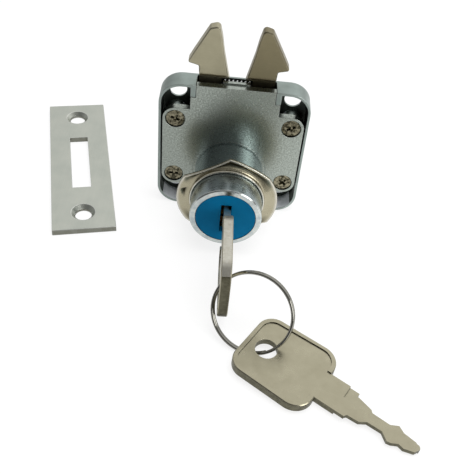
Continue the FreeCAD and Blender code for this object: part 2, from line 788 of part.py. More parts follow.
def make_hook(label, side):
    """A hook latch: a thin shank and tail on the pivot, and a thicker head with its barb outward."""
    body = new_body(label, x=side * s.pivot_x, z=pivot_z)
    points = {name: (side * x, z) for name, (x, z) in hook_points.items()}
    full = new_sketch(body, at=hook_front + s.hook_thickness)
    outline(full, list(points.values()))
    pad(body, full, s.hook_thickness)
    head_names = (
        "tip_inner", "tip_outer", "barb_top", "barb_point", "barb_foot", "neck",
        "head_outer", "head_inner", "flank", "cheek",
    )
    head = new_sketch(body, at=hook_front)
    outline(head, [points[name] for name in head_names])
    pad(body, head, hook_front - hook_head_front)
    for radius, names in (
        (s.tip_round, ("tip_inner", "tip_outer")),
        (s.barb_round, ("barb_top", "barb_point", "barb_foot", "neck")),
        (s.tail_round, ("tail_end_outer", "tail_end_inner", "shank_foot")),
    ):
        places = [points[name] for name in names]
        dress(body, "Fillet", radius, lambda edge: beside(edge, places))
    front_edges = lambda edge: all(abs(v.Y - hook_head_front.number) < 1e-4 for v in edge.Vertexes)
    dress(body, "Chamfer", s.hook_bevel, front_edges)
    groove = new_sketch(body, at=hook_head_front)
    reach = hook_points["barb_point"][0]
    rectangle(groove, -reach, reach, s.head_groove_low, s.head_groove_high)
    pocket(body, groove, s.head_groove_depth)
    eye = circle(new_sketch(body, at=hook_front), 0, 0, s.pivot_pin + 2 * s.running_gap)
    pocket(body, eye, s.hook_thickness)
    seat = new_sketch(body, at=hook_front)
    seat_edge = hook_points["waist_top"][0]
    rectangle(
        seat, side * (seat_edge - s.seat_depth), side * (seat_edge + s.seat_depth),
        s.spring_rise - s.seat_height / 2, s.spring_rise + s.seat_height / 2,
    )
    pocket(body, seat, s.hook_thickness)


def make_hook_pivot_pins():
    """The two pins that the hooks turn on, held in the back plate and the cover."""
    length = s.casing_depth - s.cover_thickness + s.pin_into_cover
    pins = []
    for number, side in enumerate((1, -1), start=1):
        pin = doc.addObject("Part::Cylinder", f"pivot_pin_{number}")
        bind(pin, "Radius", s.pivot_pin / 2)
        bind(pin, "Height", length)
        pin.Placement.Rotation = Rotation(Vector(1, 0, 0), 90)
        bind(pin, "Placement.Base.x", side * s.pivot_x)
        bind(pin, "Placement.Base.y", s.casing_depth)
        bind(pin, "Placement.Base.z", pivot_z)
        pins.append(pin)
    group("hook_pivot_pins", pins)


def two_arcs(start, start_way, end, end_way):
    """Two arcs that join start to end and leave and arrive along the given directions."""
    gap = end - start
    ways = start_way + end_way
    square = ways.dot(ways) - 4
    linear = -2 * gap.dot(ways)
    reach = (-linear - math.sqrt(linear ** 2 - 4 * square * gap.dot(gap))) / (2 * square)
    first_corner = start + start_way * reach
    second_corner = end - end_way * reach
    joint = (first_corner + second_corner) / 2
    return [arc(start, first_corner, joint, reach), arc(joint, second_corner, end, reach)]


def arc(start, corner, end, reach):
    """The arc from start to end that touches the lines through the corner."""
    middle = (start + end) / 2
    half_chord = (end - start).Length / 2
    cosine = half_chord / reach
    radius = half_chord / math.sqrt(1 - cosine ** 2)
    outward = (corner - middle).normalize()
    return Part.Arc(start, middle + outward * radius * (1 - cosine), end).toShape()


def make_hook_spring():
    """Compression spring between the hooks, wound as one tube along X."""
    coil_radius = (s.spring_diameter.number - s.spring_wire.number) / 2
    pitch = s.spring_pitch.number
    half_length = s.spring_turns.number * pitch / 2
    quarters = int(round(4 * s.spring_turns.number))
    centre_y = inner_depth.number - s.layer_gap.number - s.spring_diameter.number / 2

    def point(quarter):
        angle = quarter * math.pi / 2
        return Vector(quarter * pitch / 4 - half_length, coil_radius * math.cos(angle), coil_radius * math.sin(angle))

    def way(quarter):
        angle = quarter * math.pi / 2
        step = Vector(pitch / 2 / math.pi, -coil_radius * math.sin(angle), coil_radius * math.cos(angle))
        return step.normalize()

    edges = []
    for quarter in range(quarters):
        edges += two_arcs(point(quarter), way(quarter), point(quarter + 1), way(quarter + 1))
    path = Part.Wire(edges)
    ring = Part.Wire(Part.Circle(point(0), way(0), s.spring_wire.number / 2).toShape())
    spring = doc.addObject("Part::Feature", "hook_spring")
    spring.Label = "hook_spring"
    spring.Shape = path.makePipeShell([ring], True, False)
    spring.Placement = Placement(Vector(0, centre_y, spring_z.number), Rotation())
    samples = path.discretize(Distance=0.1)
    turn_samples = int(round(2 * math.pi * coil_radius / 0.1))
    least = min(
        (a - b).Length for i, a in enumerate(samples) for b in samples[i + turn_samples // 2:]
    )
    print(f"hook_spring: least gap to itself {least - s.spring_wire.number:.3f} mm")
    NODES.append(spring)


def make_key(label):
    """A key: bow with a raised rim and its hole, neck, shoulder and cut blade, along its own Y, its width along Z."""
    body = new_body(label)
    notch = s.bow_back + s.neck_notch
    bow = [(-s.bow_end, s.bow_half_end), (-s.bow_back, s.bow_half_neck), (-notch, s.neck_half)]
    flat = new_sketch(body, role="YZ_Plane")
    outline(flat, bow + mirrored(bow))
    pad(body, flat, s.bow_thickness, midplane=True)
    for radius, depth, half in (
        (s.bow_end_corner, s.bow_end, s.bow_half_end), (s.bow_neck_corner, s.bow_back, s.bow_half_neck),
    ):
        round_corners(body, radius, depth, half)
    dress(body, "Chamfer", s.key_chamfer, is_bow_edge)
    end_round = s.bow_end_corner - s.bow_rim
    neck_round = s.bow_neck_corner - s.bow_rim
    end_corner = round_corner(s.bow_rim - s.bow_end, s.bow_half_end - s.bow_rim, end_round, -1)
    neck_corner = round_corner(-notch - s.bow_rim, s.bow_half_neck - s.bow_rim, neck_round, 1)
    mouth = [(-notch - s.bow_rim, s.neck_half), (-s.bow_back, s.neck_half)]
    field = end_corner[::-1] + neck_corner + mouth
    for face in (s.bow_thickness / 2, -s.key_thickness / 2):
        coin = new_sketch(body, role="YZ_Plane", at=face)
        outline(coin, field + mirrored(field))
        pocket(body, coin, (s.bow_thickness - s.key_thickness) / 2)
    upper = [
        (-notch - s.bow_rim, s.neck_half), (s.key_shoulder, s.neck_half), (s.key_shoulder, blade_upper[0][1]),
    ]
    lower = [
        (s.key_shoulder, -s.blade_foot), (s.key_shoulder, -s.neck_half), (-notch - s.bow_rim, -s.neck_half),
    ]
    shank = new_sketch(body, role="YZ_Plane")
    outline(shank, upper + blade_upper + blade_lower + lower)
    pad(body, shank, s.key_thickness, midplane=True)
    hole = circle(new_sketch(body, role="YZ_Plane"), -s.key_hole_place, 0, s.key_hole)
    pocket(body, hole, 2 * s.key_thickness, midplane=True)
    ward_end = blade_lower[0][0] + s.ward_start
    for face, low, high in (
        (s.key_thickness / 2, s.ward_edge, s.bow_half_end),
        (s.ward_step - s.key_thickness / 2, -s.bow_half_end, -s.ward_edge),
    ):
        ward = new_sketch(body, role="YZ_Plane", at=face)
        rectangle(ward, s.ward_start, ward_end, low, high)
        pocket(body, ward, s.ward_step)
    return body


def mirrored(points):
    """The same points below the key's axis, in the order that closes the outline."""
    return [(place, -half) for place, half in reversed(points)]


def round_corner(place, half, radius, way):
    """Points round the field's corner at this place and half width, from its long side to its short one."""
    turns = [math.radians(15 * step) for step in range(7)]
    return [
        (place - way * radius * (1 - math.sin(turned)), half - radius * (1 - math.cos(turned))) for turned in turns
    ]


def round_corners(body, radius, depth, half):
    """Rounds the key's two corners at this depth and half width."""
    dress(body, "Fillet", radius, along(0, (-depth, half), (-depth, -half)))


def is_bow_edge(edge):
    """Whether the edge lies on a broad face of the key's bow."""
    box = edge.BoundBox
    return abs(abs(box.XMin) - s.bow_thickness.number / 2) < 1e-4 and box.XLength < 1e-4


def place_keys():
    """The key in the lock, a little askew in its slot, and the spare key on the surface."""
    key = make_key("key")
    play = Rotation(Vector(0, 0, 1), s.key_play_angle.number)
    pivot = Vector(0, (s.key_play_depth - s.barrel_length).number, 0)
    start = Vector(0, -key_insertion.number, 0)
    place_rigidly(key, pivot + play.multVec(start - pivot), play)
    spare = make_key("spare_key")
    heading = math.radians(s.spare_heading.number)
    slope = math.radians(s.spare_slope.number)
    along_key = Vector(math.cos(heading) * math.cos(slope), math.sin(heading) * math.cos(slope), -math.sin(slope))
    across = Vector(-math.sin(heading), math.cos(heading), 0)
    upward = along_key.cross(across)
    lie = Rotation(Matrix(
        upward.x, along_key.x, across.x, 0,
        upward.y, along_key.y, across.y, 0,
        upward.z, along_key.z, across.z, 0,
        0, 0, 0, 1,
    ))
    tip_y = -(s.barrel_length + s.spare_tip_ahead).number
    tip = Vector(s.spare_tip_x.number, tip_y, floor_z.number + s.spare_lift.number)
    reach = blade_lower[0][0].number
    place_rigidly(spare, tip - along_key * reach + upward * (s.key_thickness.number / 2), lie)


def place_rigidly(item, base, rotation):
    """Gives a piece its place and turn in the assembly."""
    for path in ("Placement.Base.x", "Placement.Base.y", "Placement.Base.z"):
        item.setExpression(path, None)
    item.Placement = Placement(base, rotation)


def make_key_ring():
    """Split ring of two coils that lie on each other."""
    coils = []
    for number, way in enumerate((1, -1), start=1):
        coil = doc.addObject("Part::Torus", f"ring_coil_{number}")
        bind(coil, "Radius1", s.ring_diameter / 2)
        bind(coil, "Radius2", s.ring_wire / 2)
        bind(coil, "Placement.Base.z", way * s.ring_coil_pitch / 2)
        coils.append(coil)
    ring = doc.addObject("Part::Fuse", "key_ring")
    ring.Label = "key_ring"
    ring.Base, ring.Tool = coils
    tilt = Rotation(Vector(0, 1, 0), s.ring_tilt.number)
    azimuth = Rotation(Vector(0, 0, 1), s.ring_azimuth.number)
    centre_y = -(s.barrel_length + s.ring_ahead).number
    centre = Vector(s.ring_x.number, centre_y, floor_z.number + s.ring_rise.number)
    ring.Placement = Placement(centre, azimuth.multiply(tilt))
    NODES.append(ring)


def make_strike_plate():
    """Flat plate with a slot for the hooks and a countersunk hole near each end."""
    body = new_body("strike_plate")
    half_length = s.strike_length / 2
    plate = new_sketch(body, role="XY_Plane")
    rectangle(plate, -half_length, half_length, -s.strike_width / 2, s.strike_width / 2)
    pad(body, plate, s.strike_thickness)
    slot = new_sketch(body, role="XY_Plane", at=s.strike_thickness)
    half_slot = s.strike_slot_length / 2
    rectangle(slot, -half_slot, half_slot, -s.strike_slot_width / 2, s.strike_slot_width / 2)
    pocket(body, slot, s.strike_thickness)
    for side in (1, -1):
        sink = new_sketch(body, role="XY_Plane", at=s.strike_thickness)
        circle(sink, side * s.strike_hole_span / 2, 0, s.strike_hole)
        pocket(body, sink, s.strike_thickness)
    rims = lambda edge: (
        isinstance(edge.Curve, Part.Circle) and abs(edge.Curve.Center.z - s.strike_thickness.number) < 1e-4
    )
    dress(body, "Chamfer", (s.strike_countersink - s.strike_hole) / 2, rims)
    place_rigidly(
        body,
        Vector(s.strike_x.number, s.strike_y.number, floor_z.number),
        Rotation(Vector(0, 0, 1), s.strike_turn.number),
    )


def check_and_write():
    """Makes sure that everything was worked out, then writes one file for each node."""
    doc.recompute()
    failed = [item.Name for item in doc.Objects if set(item.State) & {"Invalid", "Error"}]
    if failed:
        raise RuntimeError(f"not worked out: {failed}")
    for node in NODES:
        if node.Shape.isNull() or not node.Shape.isValid():
            raise RuntimeError(f"{node.Label} has no valid shape")
    os.makedirs("parts", exist_ok=True)
    for node in NODES:
        node.Shape.exportStep(f"parts/{node.Label}.step")
        print(node.Label, len(node.Shape.Solids), round(node.Shape.Volume, 2))


make_casing()
make_cover()
make_cover_screws()
make_trim_nut()
make_plug()
make_plug_cap()
make_plug_clip()
make_wafers()
make_wafer_springs()
make_driver_cam()
make_hook("hook_left", -1)
make_hook("hook_right", 1)
make_hook_pivot_pins()
make_hook_spring()
place_keys()
make_key_ring()
make_strike_plate()
check_and_write()
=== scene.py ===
"""Drawer lock with two hook latches, its keys and its strike plate: the looks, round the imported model.

Lengths are in metres, in the model's frame. Its origin is on the barrel's axis in the mounting face,
+Z is up, the way the hooks point, and the barrel points along -Y.
"""
import math

import bmesh
import bpy
from bpy.props import FloatProperty, FloatVectorProperty, IntProperty, PointerProperty
from mathutils import Euler, Matrix, Vector
from mathutils.bvhtree import BVHTree


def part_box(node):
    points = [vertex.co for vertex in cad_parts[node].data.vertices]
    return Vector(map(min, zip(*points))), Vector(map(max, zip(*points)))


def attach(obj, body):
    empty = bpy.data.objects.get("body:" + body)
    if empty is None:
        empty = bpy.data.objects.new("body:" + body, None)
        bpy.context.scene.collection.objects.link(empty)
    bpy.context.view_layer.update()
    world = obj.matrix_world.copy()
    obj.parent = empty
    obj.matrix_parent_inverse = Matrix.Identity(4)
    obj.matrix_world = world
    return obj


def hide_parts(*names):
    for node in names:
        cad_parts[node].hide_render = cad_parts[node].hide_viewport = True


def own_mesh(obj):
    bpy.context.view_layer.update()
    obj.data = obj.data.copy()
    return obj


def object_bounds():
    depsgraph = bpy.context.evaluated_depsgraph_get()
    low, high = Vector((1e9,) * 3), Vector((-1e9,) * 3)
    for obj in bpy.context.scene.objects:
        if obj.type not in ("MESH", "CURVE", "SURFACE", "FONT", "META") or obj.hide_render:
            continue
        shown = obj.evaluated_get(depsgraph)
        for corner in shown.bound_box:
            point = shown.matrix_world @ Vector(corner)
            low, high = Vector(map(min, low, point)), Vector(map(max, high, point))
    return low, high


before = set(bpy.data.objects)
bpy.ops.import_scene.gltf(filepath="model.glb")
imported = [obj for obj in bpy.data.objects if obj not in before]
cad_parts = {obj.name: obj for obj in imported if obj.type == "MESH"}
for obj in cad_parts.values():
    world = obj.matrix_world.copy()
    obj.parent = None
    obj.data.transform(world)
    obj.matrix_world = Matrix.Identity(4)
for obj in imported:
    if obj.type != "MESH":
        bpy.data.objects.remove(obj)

bl_info = {
    "name": "Drawer lock with hook latches",
    "version": (1, 0, 0),
    "blender": (4, 5, 0),
    "location": "3D View > Sidebar > Drawer lock",
    "description": "Builds the lock, its keys and its strike plate piece by piece round the packed model",
    "category": "Object",
}

CAD_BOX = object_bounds()
MM = 0.001


def length(name, description, millimetres):
    """A length that the user may change."""
    return FloatProperty(
        name=name, description=description, default=millimetres * MM, min=0.0,
        subtype="DISTANCE", unit="LENGTH", precision=5,
    )


def count(name, description, default):
    """A number of turns that the user may change."""
    return IntProperty(name=name, description=description, default=default, min=2)


def power(name, description, default):
    """A lamp's power that the user may change."""
    return FloatProperty(
        name=name, description=description, default=default, min=0.0, subtype="POWER", unit="POWER",
    )


def colour(name, description, red, green, blue):
    """A colour that the user may change, given as it looks on a screen."""
    linear = [pow(value / 255, 2.2) for value in (red, green, blue)]
    return FloatVectorProperty(
        name=name, description=description, default=linear, min=0.0, max=1.0, size=3, subtype="COLOR",
    )


class LockSizes(bpy.types.PropertyGroup):
    """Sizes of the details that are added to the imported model's pieces."""

    housing_edge: length("Housing edge", "Rounding of the casing's and cover's edges", 0.2)
    plate_edge: length("Plate edge", "Rounding of the strike plate's edges", 0.15)
    hook_edge: length("Hook edge", "Rounding of the hooks' edges", 0.2)
    key_edge: length("Key edge", "Rounding of the keys' edges", 0.14)
    cap_edge: length("Cap edge", "Rounding of the coloured face's edges", 0.1)
    pin_edge: length("Pin edge", "Rounding of the pivot pins' edges", 0.15)
    screw_dome: length("Screw dome", "How much the screw heads bulge", 0.12)
    cross_length: length("Cross length", "Length of the screws' cross recess", 3.5)
    cross_width: length("Cross width", "Width of the cross recess at the top", 1.0)
    cross_depth: length("Cross depth", "Depth of the cross recess", 0.75)
    spring_wire: length("Spring wire", "Diameter of the hook spring's wire", 0.5)
    ring_wire: length("Ring wire", "Diameter of the split ring's wire", 0.82)
    ring_diameter: length("Ring diameter", "Diameter of the split ring along the middle of its wire", 20.0)
    ring_pitch: length("Ring pitch", "Distance between the split ring's two coils", 0.8)
    wafer_wire: length("Wafer spring wire", "Diameter of the wafer springs' wire", 0.16)
    spring_turns: count("Spring turns", "Turns of the hook spring", 7)
    wafer_turns: count("Wafer spring turns", "Turns of each wafer spring", 6)


class LockColours(bpy.types.PropertyGroup):
    """Colours of the finishes."""

    casing: colour("Casing", "Bright zinc plating of the casing", 158, 170, 165)
    # Painted shade: the casing's inside, much darker than its plating.
    casing_inside_painted_shade: colour("Casing inside", "Duller plating inside the casing", 84, 92, 88)
    # Painted light: the casing's inner faces that look up, paler than the plating.
    casing_floor_painted_light: colour("Casing floor", "Pale plating on the casing's inner lower wall", 214, 216, 222)
    cover: colour("Cover", "Zinc plating of the cover plate", 176, 184, 176)
    cover_cloud: colour("Cover clouds", "Darker clouds in the cover's plating", 96, 100, 92)
    barrel: colour("Barrel", "Chrome plating of the barrel", 164, 176, 182)
    band: colour("Band", "Bright chrome of the barrel's front band", 216, 220, 214)
    nickel: colour("Nickel", "Warm nickel plating of the trim nut", 186, 180, 156)
    nickel_shade: colour("Nickel shade", "Darker tone in the trim nut's plating", 160, 153, 128)
    key: colour("Keys", "Warm nickel plating of the keys", 170, 165, 143)
    key_shade: colour("Key shade", "Darker tone in the keys' plating", 154, 148, 125)
    hook_left: colour("Left hook", "Warm nickel plating of the left hook", 178, 172, 146)
    # The right hook is darker than the left by painted shade.
    hook_right: colour("Right hook", "Warm nickel plating of the right hook", 138, 130, 104)
    screw: colour("Screws", "Worn nickel of the screws", 150, 144, 122)
    screw_shade: colour("Screw shade", "Dark tarnish on the screws", 56, 54, 42)
    face: colour("Face", "Coloured disc on the front of the plug", 0, 104, 148)
    face_shade: colour("Face shade", "Darker tone of the coloured disc", 0, 86, 122)
    # Painted shade: the darker sides of the keys and the strike plate.
    milled: colour("Milled edge", "Duller nickel on the keys' milled edges", 116, 113, 95)
    # Painted shade: the dark tone in the trim nut's hollows and pit, and in the clouds on the keys' shaded
    # sides.
    painted_shade: colour("Hollow", "Dark tarnish in the trim nut's hollows", 44, 42, 32)
    brass: colour("Brass", "Plug and wafers", 190, 164, 104)
    steel: colour("Steel", "Pins, springs, clip and cam", 170, 172, 172)
    ring: colour("Ring", "Polished steel of the split ring", 150, 148, 140)
    strike: colour("Strike plate", "Satin nickel of the strike plate", 192, 194, 184)
    floor: colour("Floor", "Surface that the lock stands on", 255, 255, 255)


class StageSettings(bpy.types.PropertyGroup):
    """Light and camera."""

    key_power: power("Key light", "Power of the large light above, which mirrors don't show", 2.8)
    fill_power: power("Fill light", "Power of the light from the right", 1.2)
    world_level: FloatProperty(
        name="Surroundings", description="How bright the surroundings are that light the lock", default=1.0,
        min=0.0,
    )
    lens: FloatProperty(
        name="Lens", description="Focal length of the camera", default=54.39, min=1.0,
        subtype="DISTANCE_CAMERA", unit="CAMERA",
    )


class Nodes:
    """A tree of shader or geometry nodes, with a short way to add a node and link it."""

    def __init__(self, tree):
        self.tree = tree

    def add(self, kind, inputs=None, **settings):
        """A new node with these settings. Its inputs are sockets to link or values to set."""
        node = self.tree.nodes.new(kind)
        for name, value in settings.items():
            setattr(node, name, value)
        for key, value in (inputs or {}).items():
            self.feed(node.inputs[key], value)
        return node

    def feed(self, socket, value):
        if isinstance(value, bpy.types.NodeSocket):
            self.tree.links.new(value, socket)
        else:
            socket.default_value = value

    def math(self, operation, *values, clamp=False):
        node = self.add("ShaderNodeMath", operation=operation, use_clamp=clamp)
        for socket, value in zip(node.inputs, values):
            self.feed(socket, value)
        return node.outputs[0]

    def half(self, value):
        return self.math("DIVIDE", value, 2.0)

    def vector(self, operation, *values, scale=None):
        node = self.add("ShaderNodeVectorMath", operation=operation)
        for socket, value in zip(node.inputs, values):
            self.feed(socket, value)
        if scale is not None:
            self.feed(node.inputs["Scale"], scale)
        return node.outputs[0]

    def joined(self, **parts):
        """A vector with these parts X, Y and Z, and 0 where one isn't given."""
        return self.add("ShaderNodeCombineXYZ", parts).outputs[0]

    def parted(self, vector):
        """The vector's X, Y and Z."""
        return self.add("ShaderNodeSeparateXYZ", {"Vector": vector}).outputs[:]

    def spread(self, value, low, high, to_low=0.0, to_high=1.0, **settings):
        """The value, with low to high drawn out to to_low to to_high."""
        node = self.add("ShaderNodeMapRange", {
            "Value": value, "From Min": low, "From Max": high, "To Min": to_low, "To Max": to_high,
        }, **settings)
        return node.outputs["Result"]

    def noise_mask(self, place, detail, roughness, softness):
        """Noise as a mask. The more softness, the softer the borders of its patches."""
        noise = self.add("ShaderNodeTexNoise", {
            "Vector": place, "Scale": 1.0, "Detail": detail, "Roughness": roughness,
        }).outputs["Fac"]
        border = self.math("MULTIPLY", softness, 0.5)
        return self.spread(noise, self.math("SUBTRACT", 0.5, border), self.math("ADD", 0.5, border))

    def blend(self, share, first, second):
        """A colour between the two."""
        node = self.add("ShaderNodeMix", data_type="RGBA")
        self.feed(node.inputs[0], share)
        self.feed(node.inputs[6], first)
        self.feed(node.inputs[7], second)
        return node.outputs[2]

    def group(self, tree, inputs):
        return self.add("ShaderNodeGroup", inputs, node_tree=tree).outputs[0]

    def moved(self, geometry, **inputs):
        """The geometry, turned by Rotation round the origin and then moved by Translation."""
        return self.add("GeometryNodeTransform", {"Geometry": geometry, **inputs}).outputs[0]

    def spiral(self, diameter, turns, height, resolution):
        """A helix that rises from the origin's plane, as a curve."""
        radius = self.half(diameter)
        return self.add("GeometryNodeCurveSpiral", {
            "Resolution": resolution, "Rotations": turns, "Start Radius": radius, "End Radius": radius,
            "Height": height,
        }).outputs["Curve"]

    def tube(self, path, diameter, sides):
        """A wire of that diameter along the path, closed at its ends."""
        section = self.add("GeometryNodeCurvePrimitiveCircle", {
            "Resolution": sides, "Radius": self.half(diameter),
        })
        return self.add("GeometryNodeCurveToMesh", {
            "Curve": path, "Profile Curve": section.outputs["Curve"], "Fill Caps": True,
        }).outputs["Mesh"]


def new_tree(name, kind, inputs, output_name, output_kind):
    """An empty tree with named inputs and one output.

    It comes as (nodes, the outputs of its input node, the socket of its output).
    """
    tree = bpy.data.node_groups.new(name, kind)
    for label, (socket_kind, default) in inputs.items():
        socket = tree.interface.new_socket(label, in_out="INPUT", socket_type=socket_kind)
        if default is not None:
            socket.default_value = default
    tree.interface.new_socket(output_name, in_out="OUTPUT", socket_type=output_kind)
    nodes = Nodes(tree)
    start = nodes.add("NodeGroupInput")
    end = nodes.add("NodeGroupOutput")
    return nodes, start.outputs, end.inputs[0]


def cloud_group():
    """Soft patches of the given size in millimetres, as a mask."""
    found = bpy.data.node_groups.get("plating_clouds")
    if found:
        return found
    nodes, given, result = new_tree("plating_clouds", "ShaderNodeTree", {
        "Vector": ("NodeSocketVector", None),
        "Size": ("NodeSocketFloat", 2.0),
        "Softness": ("NodeSocketFloat", 0.3),
        "Detail": ("NodeSocketFloat", 4.0),
    }, "Mask", "NodeSocketFloat")
    place = nodes.vector("SCALE", given["Vector"], scale=nodes.math("DIVIDE", 1 / MM, given["Size"]))
    nodes.feed(result, nodes.noise_mask(place, given["Detail"], 0.55, given["Softness"]))
    return nodes.tree


def brushing_group():
    """Fine lines left by brushing or rolling, as a mask.

    Stretch is the lines' size along each axis in millimetres.
    """
    found = bpy.data.node_groups.get("brushed_lines")
    if found:
        return found
    nodes, given, result = new_tree("brushed_lines", "ShaderNodeTree", {
        "Vector": ("NodeSocketVector", None),
        "Stretch": ("NodeSocketVector", (0.15, 6.0, 6.0)),
        "Softness": ("NodeSocketFloat", 0.5),
    }, "Mask", "NodeSocketFloat")
    place = nodes.vector("DIVIDE", nodes.vector("SCALE", given["Vector"], scale=1 / MM), given["Stretch"])
    nodes.feed(result, nodes.noise_mask(place, 3.0, 0.6, given["Softness"]))
    return nodes.tree


def rubbed_and_highlight_group():
    """The rounded edges, broken up by small patches, as a mask: where handling has polished them and where a
    painted highlight goes.
    """
    found = bpy.data.node_groups.get("rubbed_edges_and_highlight")
    if found:
        return found
    nodes, given, result = new_tree("rubbed_edges_and_highlight", "ShaderNodeTree", {
        "Vector": ("NodeSocketVector", None),
        "Patch": ("NodeSocketFloat", 1.2),
    }, "Mask", "NodeSocketFloat")
    edge = nodes.add("ShaderNodeAttribute", attribute_name="edge")
    patches = nodes.group(cloud_group(), {"Vector": given["Vector"], "Size": given["Patch"], "Softness": 0.5})
    kept = nodes.spread(patches, 0.0, 1.0, 0.45, 1.0)
    nodes.feed(result, nodes.math("MULTIPLY", edge.outputs["Fac"], kept, clamp=True))
    return nodes.tree


RELIEF_HEIGHT = 0.02 * MM
STREAK_SHADE = 0.25
STREAK_ROUGHNESS = (-0.04, 0.06)
RUB_POLISH = 0.1


def finish(name, tone, shade, rough, clouds=2.0, cloud_share=0.5, softness=0.5, grain=0.25, relief=0.15,
           lines=None, line_relief=0.0, rub_and_highlight=None, painted_shade=None, metallic=1.0, specular=0.5):
    """A material.

    Tone turns to shade in the clouds, by cloud_share at the most, and rough is the roughness between
    them and in them. Clouds and grain are sizes in millimetres. Relief and line_relief are the height
    of the grain and of the brushed lines, whose size along each axis is lines. The edge tone goes on
    the rounded edges, which handling has rubbed and which carry a painted highlight; the hollow tone is
    the painted shade in the trim nut's hollows and pit.
    """
    material = bpy.data.materials.new(name)
    material.use_nodes = True
    nodes = Nodes(material.node_tree)
    shader = material.node_tree.nodes["Principled BSDF"]
    place = nodes.add("ShaderNodeTexCoord").outputs["Object"]
    cloud = nodes.group(cloud_group(), {"Vector": place, "Size": clouds, "Softness": softness})
    fine = nodes.group(cloud_group(), {"Vector": place, "Size": grain, "Softness": 0.8, "Detail": 2.0})
    base = nodes.blend(nodes.math("MULTIPLY", cloud, cloud_share), (*tone, 1.0), (*shade, 1.0))
    roughness = nodes.spread(cloud, 0.0, 1.0, *rough)
    height = nodes.math("MULTIPLY", fine, relief)
    if lines:
        streaks = nodes.group(brushing_group(), {"Vector": place, "Stretch": lines})
        height = nodes.math("ADD", height, nodes.math("MULTIPLY", streaks, line_relief))
        streaked = nodes.spread(streaks, 0.0, 1.0, *STREAK_ROUGHNESS)
        roughness = nodes.math("ADD", roughness, streaked, clamp=True)
        base = nodes.blend(nodes.math("MULTIPLY", streaks, STREAK_SHADE), base, (*shade, 1.0))
    # Rounded edges turn lighter, partly as rubbed wear and partly as a painted highlight. They are smoother
    # too.
    if rub_and_highlight:
        edges = nodes.group(rubbed_and_highlight_group(), {"Vector": place})
        base = nodes.blend(edges, base, (*rub_and_highlight, 1.0))
        roughness = nodes.math("SUBTRACT", roughness, nodes.math("MULTIPLY", edges, RUB_POLISH), clamp=True)
    # Painted shade in the trim nut's hollows and pit, as much as a vertex attribute asks for.
    if painted_shade:
        depth = nodes.add("ShaderNodeAttribute", attribute_name="painted_shade").outputs["Fac"]
        base = nodes.blend(depth, base, (*painted_shade, 1.0))
    bump = nodes.add("ShaderNodeBump", {"Height": height, "Strength": 1.0, "Distance": RELIEF_HEIGHT})
    nodes.feed(shader.inputs["Base Color"], base)
    nodes.feed(shader.inputs["Roughness"], roughness)
    nodes.feed(shader.inputs["Normal"], bump.outputs["Normal"])
    shader.inputs["Metallic"].default_value = metallic
    shader.inputs["Specular IOR Level"].default_value = specular
    return material


def lighter(tone, share=0.35):
    """The tone, that part of the way to white."""
    return [value + (1.0 - value) * share for value in tone]


def darker(tone, share):
    """The tone, that part of the way to black."""
    return [value - value * share for value in tone]


def plain_object(name, mesh):
    """A new object with that mesh, in the scene."""
    made = bpy.data.objects.new(name, mesh)
    bpy.context.scene.collection.objects.link(made)
    return made


def plain_mesh(name, shape):
    """The shape that was edited, as a mesh."""
    mesh = bpy.data.meshes.new(name)
    shape.to_mesh(mesh)
    shape.free()
    return mesh


def run_tree(name, tree, inputs):
    """An object made by a geometry tree with these inputs, turned into a plain mesh."""
    made = plain_object(name, bpy.data.meshes.new(name))
    modifier = made.modifiers.new("made", "NODES")
    modifier.node_group = tree
    for item in tree.interface.items_tree:
        if item.in_out == "INPUT" and item.name in inputs:
            modifier[item.identifier] = inputs[item.name]
    graph = bpy.context.evaluated_depsgraph_get()
    mesh = bpy.data.meshes.new_from_object(made.evaluated_get(graph))
    made.modifiers.clear()
    made.data = mesh
    return made


def close_tree(nodes, given, result, geometry, smooth=True):
    """Ends a geometry tree: real geometry, shading and the material."""
    real = nodes.add("GeometryNodeRealizeInstances", {"Geometry": geometry})
    shaded = nodes.add("GeometryNodeSetShadeSmooth", {"Geometry": real.outputs[0], "Shade Smooth": smooth})
    coated = nodes.add("GeometryNodeSetMaterial", {
        "Geometry": shaded.outputs[0], "Material": given["Material"],
    })
    nodes.feed(result, coated.outputs[0])
    return nodes.tree


def finish_mesh(made, materials, body, node):
    """Gives a piece its materials and its body, and hides the imported node that it stands for.

    A piece made by a geometry tree brings its material along.
    """
    for material in materials:
        made.data.materials.append(material)
    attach(made, body)
    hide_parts(node)


WELD_DISTANCE = 0.002 * MM
FLAT_ANGLE = math.radians(0.4)


def merged_copy(node):
    """The node's own mesh as one closed surface, with its flat faces joined up."""
    shape = bmesh.new()
    shape.from_mesh(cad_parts[node].data)
    bmesh.ops.remove_doubles(shape, verts=shape.verts, dist=WELD_DISTANCE)
    bmesh.ops.dissolve_degenerate(shape, edges=shape.edges, dist=WELD_DISTANCE)
    bmesh.ops.dissolve_limit(shape, angle_limit=FLAT_ANGLE, verts=shape.verts, edges=shape.edges)
    return shape


SHARP_ANGLE = math.radians(28.0)
ROUNDING_ANGLE = math.radians(75.0)
FLAT_LIMIT = math.cos(math.radians(0.2))


def rounded(name, node, width):
    """A copy of the node with its sharp edges rounded, and an "edge" attribute that is 1 along them."""
    shape = merged_copy(node)
    edge_mark = shape.loops.layers.float.new("edge")
    sharp_edges = [
        edge for edge in shape.edges
        if len(edge.link_faces) == 2 and edge.calc_face_angle(0.0) > SHARP_ANGLE
    ]
    made = bmesh.ops.bevel(
        shape, geom=sharp_edges, offset=width, offset_type="OFFSET", segments=2, profile=0.5,
        affect="EDGES", clamp_overlap=True,
    )
    roundings = set(made["faces"])
    for corner in (corner for face in roundings for corner in face.loops):
        corner[edge_mark] = 1.0 if all(face in roundings for face in corner.vert.link_faces) else 0.0
    bmesh.ops.recalc_face_normals(shape, faces=shape.faces)
    directions = []
    for face in shape.faces:
        own = [corner_direction(corner, roundings) for corner in face.loops]
        face.smooth = any(direction.dot(face.normal) < FLAT_LIMIT for direction in own)
        directions += own
    mesh = plain_mesh(name, shape)
    mesh.normals_split_custom_set(directions)
    return plain_object(name, mesh)


